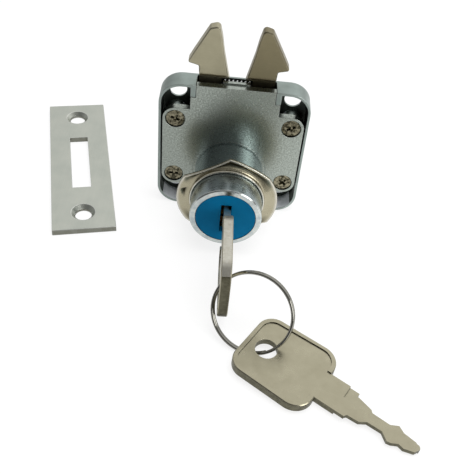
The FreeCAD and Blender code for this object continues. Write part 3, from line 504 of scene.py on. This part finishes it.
def corner_direction(corner, roundings):
    """The normal at a face's corner: flat faces shade flat, and a rounding runs from one face to the next."""
    own = corner.face.normal
    old = [other for other in corner.vert.link_loops if other.face not in roundings]
    if old and corner.face in roundings:
        own = max(old, key=lambda other: other.face.normal.dot(own)).face.normal
    limit = math.cos(SHARP_ANGLE if old else ROUNDING_ANGLE)
    total = Vector((0.0, 0.0, 0.0))
    for other in old or corner.vert.link_loops:
        if other.face.normal.dot(own) >= limit:
            total += other.face.normal * other.calc_angle()
    return total.normalized() if total.length > 0 else own


# Limits of a normal's share along an axis: of a face that looks up, straight ahead, or to the side.
LOOKS_UP = 0.5
LOOKS_AHEAD = 0.9
LOOKS_ASIDE = 0.3

# The casing's rim and back, which aren't inside it, and the barrel, which is in front of the cover.
RIM_DEPTH = 0.5 * MM
BACK_DEPTH = 0.2 * MM
COVER_FRONT = -0.05 * MM
BARREL_RADIUS = 9.6 * MM


class LOCK_OT_housing(bpy.types.Operator):
    """Finishes the casing and the cover with its barrel"""

    bl_idname = "lock.housing"
    bl_label = "Casing and cover"

    def execute(self, context):
        sizes = context.scene.lock_sizes
        tones = context.scene.lock_colours
        finish_casing(sizes, tones)
        finish_cover(sizes, tones)
        return {"FINISHED"}


def finish_casing(sizes, tones):
    """The casing: bright outside, darker inside as painted shade, and paler as painted light on its inner
    faces that look up.
    """
    outside = finish(
        "casing_zinc", tones.casing, tones.cover_cloud, (0.34, 0.46), clouds=4.0, cloud_share=0.3,
        grain=0.35, relief=0.25, rub_and_highlight=lighter(tones.casing),
    )
    # Painted shade inside the casing's pockets.
    inside_painted_shade = finish(
        "casing_inside_zinc_painted_shade", tones.casing_inside_painted_shade, tones.screw_shade, (0.4, 0.55), clouds=3.0,
        grain=0.4, relief=0.4,
    )
    # Painted light on the inner faces that look up.
    lower_wall_painted_light = finish(
        "casing_floor_zinc_painted_light", tones.casing_floor_painted_light, tones.casing, (0.45, 0.6), clouds=3.0,
        grain=0.4, relief=0.4, metallic=0.15,
    )
    casing = rounded("casing_box", "casing", sizes.housing_edge)
    finish_mesh(casing, (outside, inside_painted_shade, lower_wall_painted_light), "lock", "casing")
    low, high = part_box("casing")
    middle = (low + high) / 2
    for face in casing.data.polygons:
        outward = face.center - middle
        outward.y = 0.0
        faces_in = outward.dot(face.normal) < 0.0 or face.normal.y < -LOOKS_AHEAD
        # Inner faces take the painted shade, and those of them that look up take the painted light.
        if faces_in and RIM_DEPTH < face.center.y < high.y - BACK_DEPTH:
            face.material_index = 2 if face.normal.z > LOOKS_UP else 1


def finish_cover(sizes, tones):
    """The cover's plate, its barrel, and the bright band of the barrel in front of the trim nut."""
    plate = finish(
        "cover_zinc", tones.cover, tones.cover_cloud, (0.24, 0.36), clouds=0.45,
        softness=0.35, grain=0.3, relief=0.4, rub_and_highlight=lighter(tones.cover),
    )
    barrel = finish(
        "barrel_chrome", tones.barrel, tones.casing, (0.2, 0.32), clouds=2.5, cloud_share=0.4,
        grain=0.4, relief=0.2, lines=(6.0, 0.5, 6.0), line_relief=0.1, rub_and_highlight=lighter(tones.barrel),
    )
    band = finish(
        "band_chrome", tones.band, tones.barrel, (0.12, 0.22), clouds=1.5, cloud_share=0.7,
        softness=0.3, grain=0.5, relief=0.5, rub_and_highlight=lighter(tones.band, 0.6),
    )
    cover = rounded("cover_and_barrel", "cover", sizes.housing_edge)
    finish_mesh(cover, (plate, barrel, band), "lock", "cover")
    nut_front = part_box("trim_nut")[0].y
    for face in cover.data.polygons:
        centre = face.center
        if centre.y < COVER_FRONT and math.hypot(centre.x, centre.z) < BARREL_RADIUS:
            face.material_index = 1 if centre.y > nut_front else 2


SCREW_HEAD = 4.9 * MM
SCREW_HEAD_HEIGHT = 1.1 * MM
SCREW_SHANK = 2.6 * MM
SCREW_TURN_STEP = 1.2
CROSS_FOOT = (0.45, 0.5)


class LOCK_OT_screws(bpy.types.Operator):
    """Makes the four cross-recessed screws that hold the cover"""

    bl_idname = "lock.screws"
    bl_label = "Cover screws"

    def execute(self, context):
        tones = context.scene.lock_colours
        sizes = context.scene.lock_sizes
        low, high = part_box("cover_screws")
        screws = run_tree("cross_screws", screw_tree(), {
            "Shank Length": high.y - low.y - SCREW_HEAD_HEIGHT,
            "Dome": sizes.screw_dome,
            "Cross Length": sizes.cross_length,
            "Cross Width": sizes.cross_width,
            "Cross Depth": sizes.cross_depth,
            "Span X": high.x - low.x - SCREW_HEAD,
            "Span Z": high.z - low.z - SCREW_HEAD,
            "Place": Vector(((low.x + high.x) / 2, low.y, (low.z + high.z) / 2)),
            "Material": finish(
                "screw_nickel", tones.screw, tones.screw_shade, (0.14, 0.26), clouds=0.7, cloud_share=1.0,
                softness=0.25, grain=0.3, relief=1.2,
            ),
        })
        finish_mesh(screws, (), "lock", "cover_screws")
        return {"FINISHED"}


def screw_tree():
    """Screws on the four corners of a rectangle: domed head, tapered cross recess and shank."""
    number = "NodeSocketFloat"
    nodes, given, result = new_tree("cross_screws", "GeometryNodeTree", {
        "Head Diameter": (number, SCREW_HEAD),
        "Head Height": (number, SCREW_HEAD_HEIGHT),
        "Shank Diameter": (number, SCREW_SHANK),
        "Shank Length": (number, 3.7 * MM),
        "Dome": (number, 0.12 * MM),
        "Cross Length": (number, 3.5 * MM),
        "Cross Width": (number, 1.0 * MM),
        "Cross Depth": (number, 0.75 * MM),
        "Span X": (number, 31.0 * MM),
        "Span Z": (number, 18.6 * MM),
        "Turn Step": (number, SCREW_TURN_STEP),
        "Place": ("NodeSocketVector", None),
        "Material": ("NodeSocketMaterial", None),
    }, "Geometry", "NodeSocketGeometry")
    radius = nodes.half(given["Head Diameter"])
    half_height = nodes.half(given["Head Height"])
    head = nodes.add("GeometryNodeMeshCylinder", {
        "Vertices": 40, "Side Segments": 3, "Fill Segments": 5, "Radius": radius,
        "Depth": given["Head Height"],
    })
    x, y, z = nodes.parted(nodes.add("GeometryNodeInputPosition").outputs[0])
    squares = nodes.math("ADD", nodes.math("POWER", x, 2.0), nodes.math("POWER", y, 2.0))
    across = nodes.math("DIVIDE", nodes.math("POWER", squares, 0.5), radius)
    fall = nodes.math("MULTIPLY", nodes.math("POWER", across, 3.0), given["Dome"])
    top = nodes.math("GREATER_THAN", z, 0.0)
    drop = nodes.math("MULTIPLY", nodes.math("MULTIPLY", fall, -1.0), top)
    domed = nodes.add("GeometryNodeSetPosition", {
        "Geometry": head.outputs["Mesh"], "Offset": nodes.joined(Z=drop),
    })
    shank_length = nodes.math("ADD", given["Shank Length"], half_height)
    shank = nodes.add("GeometryNodeMeshCylinder", {
        "Vertices": 20, "Radius": nodes.half(given["Shank Diameter"]), "Depth": shank_length,
    })
    under = nodes.joined(Z=nodes.math("DIVIDE", shank_length, -2.0))
    solid = nodes.add("GeometryNodeMeshBoolean", operation="UNION", solver="EXACT")
    for part in (domed.outputs[0], nodes.moved(shank.outputs["Mesh"], Translation=under)):
        nodes.feed(solid.inputs["Mesh 2"], part)
    cut = nodes.add("GeometryNodeMeshBoolean", operation="DIFFERENCE", solver="EXACT")
    nodes.feed(cut.inputs["Mesh 1"], solid.outputs["Mesh"])
    for turned in (0.0, math.pi / 2):
        nodes.feed(cut.inputs["Mesh 2"], cross_arm(nodes, given, turned))
    corners = nodes.add("GeometryNodeMeshGrid", {
        "Size X": given["Span X"], "Size Y": given["Span Z"], "Vertices X": 2, "Vertices Y": 2,
    })
    which = nodes.add("GeometryNodeInputIndex").outputs[0]
    placed = nodes.add("GeometryNodeInstanceOnPoints", {
        "Points": corners.outputs["Mesh"], "Instance": cut.outputs["Mesh"],
        "Rotation": nodes.joined(Z=nodes.math("MULTIPLY", which, given["Turn Step"])),
    })
    inward = nodes.vector("ADD", given["Place"], nodes.joined(Y=half_height))
    stood = nodes.moved(placed.outputs[0], Translation=inward, Rotation=Euler((math.pi / 2, 0.0, 0.0)))
    return close_tree(nodes, given, result, stood, smooth=False)


def cross_arm(nodes, given, turned):
    """One tapered arm of the cross recess, as the geometry that is cut away."""
    height = nodes.math("MULTIPLY", given["Cross Depth"], 2.0)
    size = nodes.joined(X=given["Cross Length"], Y=given["Cross Width"], Z=height)
    bar = nodes.add("GeometryNodeMeshCube", {"Size": size})
    x, y, z = nodes.parted(nodes.add("GeometryNodeInputPosition").outputs[0])
    narrow_x, narrow_y = (nodes.math("MULTIPLY", *pair) for pair in zip((x, y), CROSS_FOOT))
    tapered = nodes.add("GeometryNodeSetPosition", {
        "Geometry": bar.outputs["Mesh"], "Selection": nodes.math("LESS_THAN", z, 0.0),
        "Position": nodes.joined(X=narrow_x, Y=narrow_y, Z=z),
    })
    lifted = nodes.joined(Z=nodes.half(given["Head Height"]))
    return nodes.moved(tapered.outputs[0], Translation=lifted, Rotation=Euler((0.0, 0.0, turned)))


def coil_tree():
    """A wound spring along Z with its middle at the origin, copied to each of a row of points."""
    number = "NodeSocketFloat"
    nodes, given, result = new_tree("wound_springs", "GeometryNodeTree", {
        "Coil Diameter": (number, 1.6 * MM),
        "Wire": (number, 0.5 * MM),
        "Length": (number, 7.5 * MM),
        "Turns": (number, 7.0),
        "Count": ("NodeSocketInt", 1),
        "First": ("NodeSocketVector", None),
        "Step": ("NodeSocketVector", None),
        "Turned": ("NodeSocketVector", None),
        "Material": ("NodeSocketMaterial", None),
    }, "Geometry", "NodeSocketGeometry")
    coil = nodes.spiral(given["Coil Diameter"], given["Turns"], given["Length"], 24)
    down = nodes.joined(Z=nodes.math("DIVIDE", given["Length"], -2.0))
    row = nodes.add("GeometryNodeMeshLine", {
        "Count": given["Count"], "Start Location": given["First"], "Offset": given["Step"],
    })
    placed = nodes.add("GeometryNodeInstanceOnPoints", {
        "Points": row.outputs["Mesh"],
        "Instance": nodes.tube(nodes.moved(coil, Translation=down), given["Wire"], 12),
        "Rotation": given["Turned"],
    })
    return close_tree(nodes, given, result, placed.outputs[0])


def spring_finish(tones):
    """The steel that the springs, the pins, the clip and the cam share."""
    return bpy.data.materials.get("spring_steel") or finish(
        "spring_steel", tones.steel, tones.cover_cloud, (0.18, 0.3), clouds=0.8, grain=0.2, relief=0.1,
    )


class LOCK_OT_hook_spring(bpy.types.Operator):
    """Winds the spring that pushes the two hooks apart"""

    bl_idname = "lock.hook_spring"
    bl_label = "Hook spring"

    def execute(self, context):
        sizes = context.scene.lock_sizes
        low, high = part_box("hook_spring")
        wire = sizes.spring_wire
        spring = run_tree("hook_spring_coil", coil_tree(), {
            "Coil Diameter": high.z - low.z - wire,
            "Wire": wire,
            "Length": high.x - low.x - wire,
            "Turns": float(sizes.spring_turns),
            "First": (low + high) / 2,
            "Turned": Vector((0.0, math.pi / 2, 0.0)),
            "Material": spring_finish(context.scene.lock_colours),
        })
        finish_mesh(spring, (), "lock", "hook_spring")
        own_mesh(spring)
        return {"FINISHED"}


NUT_STEPS = 360
NUT_RIM_FRONT = -12.8 * MM
NUT_FOOT = 10.3 * MM
NUT_BORE = 9.6 * MM
# The hollow between crest and foot: share of its width, share of its sag, how much painted shade it gets.
NUT_HOLLOW = (
    (0.88, 0.45, 0.5), (0.75, 0.8, 0.9), (0.6, 1.0, 0.9), (0.45, 1.0, 0.6), (0.3, 0.9, 0.3),
    (0.15, 0.7, 0.1), (0.0, 0.5, 0.1),
)
NUT_PIT = [Vector(corner) * MM for corner in ((-12.5, 2.6), (-11.6, -0.8), (-10.5, 3.5))]
NUT_PIT_BORDER = 0.4 * MM
NUT_PIT_DEPTH = 0.35 * MM
RAY_START = 0.05


def nut_section(outer, back, low, high, steepness):
    """The nut's section at one angle, from its back over the crest and the hollow to the bore.

    Each point is (distance from the axis, depth, how much painted shade it gets, how much it is rubbed and
    lit by a painted highlight).
    """
    front = NUT_RIM_FRONT
    width = outer - NUT_FOOT - 0.5 * MM
    sag = (0.1 + 0.42 * steepness) * MM
    return [
        (back, high, 0.0, 0.0), (back * 0.6 + outer * 0.4, high - 0.4 * MM, 0.0, 0.0),
        (outer, front + 0.12 * MM, 0.0, 0.6), (outer - 0.1 * MM, front + 0.03 * MM, 0.0, 1.0),
        (outer - 0.25 * MM, front, 0.0, 1.0), (outer - 0.42 * MM, front + 0.04 * MM, 0.0, 0.5),
        *[
            (NUT_FOOT + width * share, front + sag * deep, shade_share * steepness, 0.0)
            for share, deep, shade_share in NUT_HOLLOW
        ],
        (NUT_FOOT - 0.1 * MM, front, 0.2, 0.0), (NUT_FOOT - 0.18 * MM, low + 0.12 * MM, 0.0, 0.6),
        (NUT_FOOT - 0.32 * MM, low, 0.0, 1.0), (NUT_BORE + 0.12 * MM, low + 0.02 * MM, 0.0, 1.0),
        (NUT_BORE, low + 0.14 * MM, 0.3, 0.0), (NUT_BORE, high, 0.0, 0.0),
    ]


def depth_in_pit(place):
    """How far inside the three-cornered pit the place lies, from 0 at its border to 1."""
    least = 1.0
    for start, end in zip(NUT_PIT, NUT_PIT[1:] + NUT_PIT[:1]):
        side = (end - start).normalized()
        least = min(least, side.cross(place - start) / NUT_PIT_BORDER)
    return max(0.0, least)


def nut_mesh(name):
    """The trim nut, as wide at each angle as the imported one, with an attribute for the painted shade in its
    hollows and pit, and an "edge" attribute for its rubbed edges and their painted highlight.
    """
    low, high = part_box("trim_nut")
    packed = merged_copy("trim_nut")
    skin = BVHTree.FromBMesh(packed)
    packed.free()

    def reach(outward, depth):
        start = outward * RAY_START + Vector((0.0, depth, 0.0))
        return math.hypot(*skin.ray_cast(start, -outward)[0].xz)

    shape = bmesh.new()
    painted_shade_mark = shape.verts.layers.float.new("painted_shade")
    edge_mark = shape.verts.layers.float.new("edge")
    sections = []
    for step in range(NUT_STEPS):
        turned = 2 * math.pi * step / NUT_STEPS
        outward = Vector((math.cos(turned), 0.0, math.sin(turned)))
        # Nearly flat at the sides, and steep above and below, where the hollow also gets more painted shade.
        steepness = min(1.0, max(0.0, (abs(outward.z) - 0.35) / 0.3))
        outer = reach(outward, NUT_RIM_FRONT + 0.1 * MM)
        back = reach(outward, high.y - 0.05 * MM)
        section = []
        for distance, depth, shade_share, rub_and_highlight in nut_section(outer, back, low.y, high.y, steepness):
            in_front = depth < high.y - 0.2 * MM
            pit = depth_in_pit(Vector((outward.x, outward.z)) * distance) if in_front else 0.0
            vertex = shape.verts.new(outward * distance + Vector((0.0, depth + NUT_PIT_DEPTH * pit, 0.0)))
            # Painted shade: the hollow's share, or the pit's depth where that is more.
            vertex[painted_shade_mark] = max(shade_share, pit)
            vertex[edge_mark] = rub_and_highlight * (1.0 - pit)
            section.append(vertex)
        sections.append(section)
    for one, other in zip(sections, sections[1:] + sections[:1]):
        for place in range(len(one)):
            face = shape.faces.new((one[place], one[place - 1], other[place - 1], other[place]))
            face.smooth = True
    bmesh.ops.recalc_face_normals(shape, faces=shape.faces)
    return plain_mesh(name, shape)


class LOCK_OT_trim_nut(bpy.types.Operator):
    """Makes the six-cornered trim nut on the barrel, with its rounded crest and its hollows"""

    bl_idname = "lock.trim_nut"
    bl_label = "Trim nut"

    def execute(self, context):
        tones = context.scene.lock_colours
        # Crest and lip are lighter as rubbed wear and a painted highlight. Hollows and pit are darker as
        # painted shade.
        material = finish(
            "nut_nickel", tones.nickel, tones.nickel_shade, (0.2, 0.32), clouds=3.0, grain=0.3,
            rub_and_highlight=lighter(tones.nickel, 0.5), painted_shade=tones.painted_shade,
        )
        nut = plain_object("dished_nut", nut_mesh("dished_nut"))
        finish_mesh(nut, (material,), "trim_nut", "trim_nut")
        return {"FINISHED"}


WAFER_COUNT = 5


class LOCK_OT_plug(bpy.types.Operator):
    """Finishes the plug with its coloured face, clip, cam and wafers, and winds the wafer springs"""

    bl_idname = "lock.plug"
    bl_label = "Plug and wafers"

    def execute(self, context):
        tones = context.scene.lock_colours
        sizes = context.scene.lock_sizes
        brass = finish(
            "plug_brass", tones.brass, tones.brass, (0.2, 0.35), cloud_share=0.4, grain=0.3,
            relief=0.2, lines=(4.0, 0.3, 4.0), line_relief=0.15,
        )
        steel = spring_finish(tones)
        wafers = [f"wafer_{number}" for number in range(1, WAFER_COUNT + 1)]
        for names, material in ((("plug", *wafers), brass), (("plug_clip", "driver_cam"), steel)):
            for name in names:
                carried_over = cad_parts[name].data
                carried_over.materials.clear()
                carried_over.materials.append(material)
        cap_finish = finish(
            "face_lacquer", tones.face, tones.face_shade, (0.5, 0.6), clouds=3.0, cloud_share=0.7,
            softness=0.8, grain=0.12, relief=0.3, metallic=0.0, specular=0.05,
        )
        cap = rounded("plug_face", "plug_cap", sizes.cap_edge)
        finish_mesh(cap, (cap_finish,), "plug", "plug_cap")
        low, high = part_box("wafer_springs")
        wire = sizes.wafer_wire
        width = high.x - low.x
        springs = run_tree("wafer_spring_coils", coil_tree(), {
            "Coil Diameter": width - wire,
            "Wire": wire,
            "Length": high.z - low.z - wire,
            "Turns": float(sizes.wafer_turns),
            "Count": WAFER_COUNT,
            "First": Vector(((low.x + high.x) / 2, low.y + width / 2, (low.z + high.z) / 2)),
            "Step": Vector((0.0, (high.y - low.y - width) / (WAFER_COUNT - 1), 0.0)),
            "Material": steel,
        })
        finish_mesh(springs, (), "plug", "wafer_springs")
        return {"FINISHED"}


class LOCK_OT_hooks(bpy.types.Operator):
    """Finishes the two hook latches and the pins that they turn on"""

    bl_idname = "lock.hooks"
    bl_label = "Hook latches"

    def execute(self, context):
        tones = context.scene.lock_colours
        sizes = context.scene.lock_sizes
        # The right hook's darker tone is painted shade.
        for side, tone in (("left", tones.hook_left), ("right", tones.hook_right)):
            material = finish(
                f"hook_nickel_{side}", tone, darker(tone, 0.15), (0.28, 0.4), cloud_share=0.55,
                softness=0.6, grain=0.3, relief=0.3, lines=(5.0, 5.0, 0.2), line_relief=0.05,
                rub_and_highlight=lighter(tone, 0.45),
            )
            hook = rounded(f"latch_{side}", f"hook_{side}", sizes.hook_edge)
            finish_mesh(hook, (material,), f"hook_{side}", f"hook_{side}")
        pins = rounded("pivot_pins", "hook_pivot_pins", sizes.pin_edge)
        finish_mesh(pins, (spring_finish(tones),), "lock", "hook_pivot_pins")
        return {"FINISHED"}


class LOCK_OT_keys(bpy.types.Operator):
    """Finishes the key in the lock and the spare key"""

    bl_idname = "lock.keys"
    bl_label = "Keys"

    def execute(self, context):
        tones = context.scene.lock_colours
        sizes = context.scene.lock_sizes
        flats = finish(
            "key_nickel", tones.key, tones.key_shade, (0.24, 0.36), clouds=3.0, cloud_share=0.4,
            relief=0.2, rub_and_highlight=lighter(tones.key, 0.5),
        )
        # The keys' edges that look aside: milled, with a darker tone that is painted shade.
        milled = finish(
            "key_milled_painted_shade", tones.milled, tones.painted_shade, (0.34, 0.48), clouds=1.2, grain=0.2,
            relief=0.4, lines=(2.0, 0.25, 0.25), line_relief=1.2,
        )
        # The keys' edges that look up: lighter, a painted highlight.
        top_edge_painted_highlight = finish(
            "key_top_edge_painted_highlight", lighter(tones.key, 0.45), tones.key, (0.3, 0.42), clouds=0.8, grain=0.2,
            relief=0.4, lines=(2.0, 0.25, 0.25), line_relief=0.6,
        )
        for node, name in (("key", "turned_key"), ("spare_key", "second_key")):
            key = rounded(name, node, sizes.key_edge)
            finish_mesh(key, (flats, milled, top_edge_painted_highlight), node, node)
            flat = max(key.data.polygons, key=lambda face: face.area).normal.copy()
            # Edges that look aside take the painted shade, and those that look up take the painted highlight.
            for face in key.data.polygons:
                if abs(face.normal.dot(flat)) < LOOKS_ASIDE:
                    face.material_index = 1 if face.normal.z < LOOKS_UP else 2
        return {"FINISHED"}


# Where the split ring hangs and where its wire begins. The wire is wound a little thinner than its
# stated size, so that its coils only just touch.
RING_CENTRE = Vector((8.11, -48.01, -4.03)) * MM
RING_TILT = math.radians(61.2)
RING_AZIMUTH = math.radians(-111.8)
RING_START = math.radians(20.0)
RING_GAP = math.radians(16.0)
WIRE_SHARE = 0.98


def ring_tree():
    """A split ring: one wire wound twice, which steps from the lower coil to the upper between its ends."""
    number = "NodeSocketFloat"
    nodes, given, result = new_tree("split_ring", "GeometryNodeTree", {
        "Diameter": (number, 20.0 * MM),
        "Wire": (number, 0.82 * MM),
        "Pitch": (number, 0.8 * MM),
        "Gap": (number, RING_GAP),
        "Start": (number, RING_START),
        "Place": ("NodeSocketVector", None),
        "Turned": ("NodeSocketVector", None),
        "Material": ("NodeSocketMaterial", None),
    }, "Geometry", "NodeSocketGeometry")
    turns = nodes.math("SUBTRACT", 2.0, nodes.math("DIVIDE", given["Gap"], math.pi))
    coil = nodes.spiral(given["Diameter"], turns, 0.0, 90)
    along = nodes.add("GeometryNodeSplineParameter").outputs["Factor"]
    half_gap = nodes.math("DIVIDE", given["Gap"], nodes.math("MULTIPLY", turns, 2.0 * math.pi))
    step = nodes.spread(
        along, nodes.math("SUBTRACT", 0.5, half_gap), nodes.math("ADD", 0.5, half_gap),
        nodes.math("MULTIPLY", given["Pitch"], -0.5), nodes.math("MULTIPLY", given["Pitch"], 0.5),
        interpolation_type="SMOOTHERSTEP",
    )
    stepped = nodes.add("GeometryNodeSetPosition", {"Geometry": coil, "Offset": nodes.joined(Z=step)})
    begin = nodes.joined(Z=nodes.math("ADD", given["Start"], given["Gap"]))
    wire = nodes.tube(nodes.moved(stepped.outputs[0], Rotation=begin), given["Wire"], 16)
    placed = nodes.moved(wire, Translation=given["Place"], Rotation=given["Turned"])
    return close_tree(nodes, given, result, placed)


class LOCK_OT_key_ring(bpy.types.Operator):
    """Winds the split ring that joins the two keys"""

    bl_idname = "lock.key_ring"
    bl_label = "Split ring"

    def execute(self, context):
        tones = context.scene.lock_colours
        sizes = context.scene.lock_sizes
        ring = run_tree("split_ring", ring_tree(), {
            "Diameter": sizes.ring_diameter,
            "Wire": sizes.ring_wire * WIRE_SHARE,
            "Pitch": sizes.ring_pitch,
            "Place": RING_CENTRE,
            "Turned": Vector((0.0, RING_TILT, RING_AZIMUTH)),
            "Material": finish(
                "ring_steel", tones.ring, tones.cover_cloud, (0.06, 0.12), clouds=1.5, cloud_share=0.3,
                grain=0.6, relief=0.05,
            ),
        })
        finish_mesh(ring, (), "key_ring", "key_ring")
        return {"FINISHED"}


class LOCK_OT_strike_plate(bpy.types.Operator):
    """Finishes the strike plate"""

    bl_idname = "lock.strike_plate"
    bl_label = "Strike plate"

    def execute(self, context):
        tones = context.scene.lock_colours
        flats = finish(
            "strike_nickel", tones.strike, tones.cover, (0.3, 0.42), clouds=5.0, cloud_share=0.35,
            grain=0.2, relief=0.1, lines=(0.12, 8.0, 8.0), line_relief=0.2, rub_and_highlight=lighter(tones.strike, 0.5),
        )
        # The plate's sides: darker as painted shade, with brushing lines across them.
        sides = finish(
            "strike_sides_painted_shade", darker(tones.strike, 0.3), tones.milled, (0.3, 0.42), clouds=3.0,
            grain=0.3, relief=0.2, lines=(0.3, 0.3, 4.0), line_relief=0.3,
        )
        plate = rounded("slotted_plate", "strike_plate", context.scene.lock_sizes.plate_edge)
        finish_mesh(plate, (flats, sides), "lock", "strike_plate")
        # Faces that look aside take the painted shade.
        for face in plate.data.polygons:
            if abs(face.normal.z) < LOOKS_ASIDE:
                face.material_index = 1
        return {"FINISHED"}


FLOOR_HALF_SIDE = 2.0
FLOOR_GAP = 0.00002
LIT_PLACE = Vector((0.0, -0.02, 0.0))
CAMERA_PLACE = Vector((-0.00246, -0.15785, 0.12690))
# The ways to the camera's right, up and back.
CAMERA_AXES = (
    Vector((0.99571, 0.03778, 0.08451)),
    Vector((-0.08696, 0.69475, 0.71400)),
    Vector((-0.03174, -0.71828, 0.69504)),
)
CAMERA_SENSOR = 36.0
CAMERA_CLIP = (0.01, 20.0)


class LOCK_OT_stage(bpy.types.Operator):
    """Sets up the pale floor, the soft light and the camera"""

    bl_idname = "lock.stage"
    bl_label = "Floor, light and camera"

    def execute(self, context):
        settings = context.scene.lock_stage
        shape = bmesh.new()
        bmesh.ops.create_grid(shape, x_segments=1, y_segments=1, size=FLOOR_HALF_SIDE)
        floor = plain_object("floor", plain_mesh("floor", shape))
        floor.location.z = CAD_BOX[0].z - FLOOR_GAP
        floor.data.materials.append(floor_finish(context.scene.lock_colours.floor))
        build_world(settings.world_level)
        overhead = add_lamp("key_light", (0.06, -0.1, 0.6), 0.4, settings.key_power)
        overhead.visible_glossy = False
        add_lamp("fill_light", (0.4, -0.4, 0.22), 0.3, settings.fill_power)
        camera = plain_object("camera", bpy.data.cameras.new("camera"))
        camera.data.sensor_width = CAMERA_SENSOR
        camera.data.lens = settings.lens
        camera.data.clip_start, camera.data.clip_end = CAMERA_CLIP
        turned = Matrix(CAMERA_AXES).transposed().to_4x4()
        camera.matrix_world = Matrix.Translation(CAMERA_PLACE) @ turned
        context.scene.camera = camera
        context.scene.view_settings.view_transform = "Standard"
        return {"FINISHED"}


def add_lamp(name, place, size, strength):
    """A square soft light that looks at the lock."""
    data = bpy.data.lights.new(name, "AREA")
    data.shape = "SQUARE"
    data.size = size
    data.energy = strength
    lamp = plain_object(name, data)
    lamp.location = place
    lamp.rotation_euler = (LIT_PLACE - Vector(place)).to_track_quat("-Z", "Y").to_euler()
    return lamp


def floor_finish(tone):
    """Plain white that keeps the lock's shadow.

    A mirror sees the floor dimmer on the left, and what light it throws back is a plain white floor's.
    """
    material = bpy.data.materials.new("pale_floor")
    material.use_nodes = True
    nodes = Nodes(material.node_tree)
    material.node_tree.nodes.remove(material.node_tree.nodes["Principled BSDF"])
    output = material.node_tree.nodes["Material Output"]
    shell = nodes.add("ShaderNodeBsdfDiffuse", {"Color": (*tone, 1.0)})
    glow = nodes.add("ShaderNodeEmission", {"Color": (*tone, 1.0), "Strength": 1.0})
    spot = nodes.add("ShaderNodeTexCoord").outputs["Object"]
    far = nodes.add("ShaderNodeVectorMath", {0: spot}, operation="LENGTH").outputs["Value"]
    share = nodes.spread(far, 0.12, 0.35, 0.8, 1.0)
    shown = nodes.add("ShaderNodeMixShader", {0: share, 1: shell.outputs[0], 2: glow.outputs[0]})
    rays = nodes.add("ShaderNodeLightPath").outputs
    mirrored = nodes.spread(nodes.parted(spot)[0], -0.035, 0.02, 0.55, 1.0)
    nodes.feed(glow.inputs["Strength"], nodes.math("MAXIMUM", mirrored, rays["Is Camera Ray"]))
    seen = nodes.math("MAXIMUM", rays["Is Camera Ray"], rays["Is Glossy Ray"])
    seen = nodes.math("MAXIMUM", seen, rays["Is Transmission Ray"])
    mixed = nodes.add("ShaderNodeMixShader", {0: seen, 1: shell.outputs[0], 2: shown.outputs[0]})
    nodes.feed(output.inputs["Surface"], mixed.outputs[0])
    return material


def build_world(level):
    """White to the camera. To the pieces, a soft dome: light above and behind, dark round the camera."""
    world = bpy.data.worlds.new("studio")
    bpy.context.scene.world = world
    world.use_nodes = True
    nodes = Nodes(world.node_tree)
    world.node_tree.nodes.remove(world.node_tree.nodes["Background"])
    output = world.node_tree.nodes["World Output"]
    x, y, z = nodes.parted(nodes.add("ShaderNodeTexCoord").outputs["Generated"])
    lift = nodes.spread(z, 0.0, 0.6, 0.45, 1.0)
    behind = nodes.spread(y, -0.5, 0.6, 0.2, 1.0)
    side = nodes.spread(x, -0.6, 0.6, 0.8, 1.35)
    ramp = nodes.math("MULTIPLY", nodes.math("MULTIPLY", lift, side), behind)
    tone = nodes.add("ShaderNodeCombineColor", {"Red": ramp, "Green": ramp, "Blue": ramp})
    dome = nodes.add("ShaderNodeBackground", {"Color": tone.outputs[0], "Strength": level})
    white = nodes.add("ShaderNodeBackground", {"Color": (1.0, 1.0, 1.0, 1.0), "Strength": 1.0})
    rays = nodes.add("ShaderNodeLightPath").outputs
    mixed = nodes.add("ShaderNodeMixShader", {
        0: rays["Is Camera Ray"], 1: dome.outputs[0], 2: white.outputs[0],
    })
    nodes.feed(output.inputs["Surface"], mixed.outputs[0])


class LOCK_PT_sidebar(bpy.types.Panel):
    """Lists the steps that build the lock"""

    bl_label = "Drawer lock"
    bl_idname = "LOCK_PT_sidebar"
    bl_space_type = "VIEW_3D"
    bl_region_type = "UI"
    bl_category = "Drawer lock"

    def draw(self, context):
        for step in STEPS:
            self.layout.operator(step.bl_idname)
        for group in (context.scene.lock_sizes, context.scene.lock_colours, context.scene.lock_stage):
            box = self.layout.box()
            for name in group.__annotations__:
                box.prop(group, name)


STEPS = (
    LOCK_OT_stage,
    LOCK_OT_housing,
    LOCK_OT_screws,
    LOCK_OT_trim_nut,
    LOCK_OT_plug,
    LOCK_OT_hooks,
    LOCK_OT_hook_spring,
    LOCK_OT_keys,
    LOCK_OT_key_ring,
    LOCK_OT_strike_plate,
)
GROUPS = {"lock_sizes": LockSizes, "lock_colours": LockColours, "lock_stage": StageSettings}


def register():
    for item in (*GROUPS.values(), *STEPS, LOCK_PT_sidebar):
        bpy.utils.register_class(item)
    for name, group in GROUPS.items():
        setattr(bpy.types.Scene, name, PointerProperty(type=group))


def unregister():
    for name in GROUPS:
        delattr(bpy.types.Scene, name)
    for item in reversed((*GROUPS.values(), *STEPS, LOCK_PT_sidebar)):
        bpy.utils.unregister_class(item)


def main():
    """Registers the add-on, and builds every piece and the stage."""
    register()
    for step in STEPS:
        group, name = step.bl_idname.split(".")
        getattr(getattr(bpy.ops, group), name)()


if __name__ == "__main__":
    main()
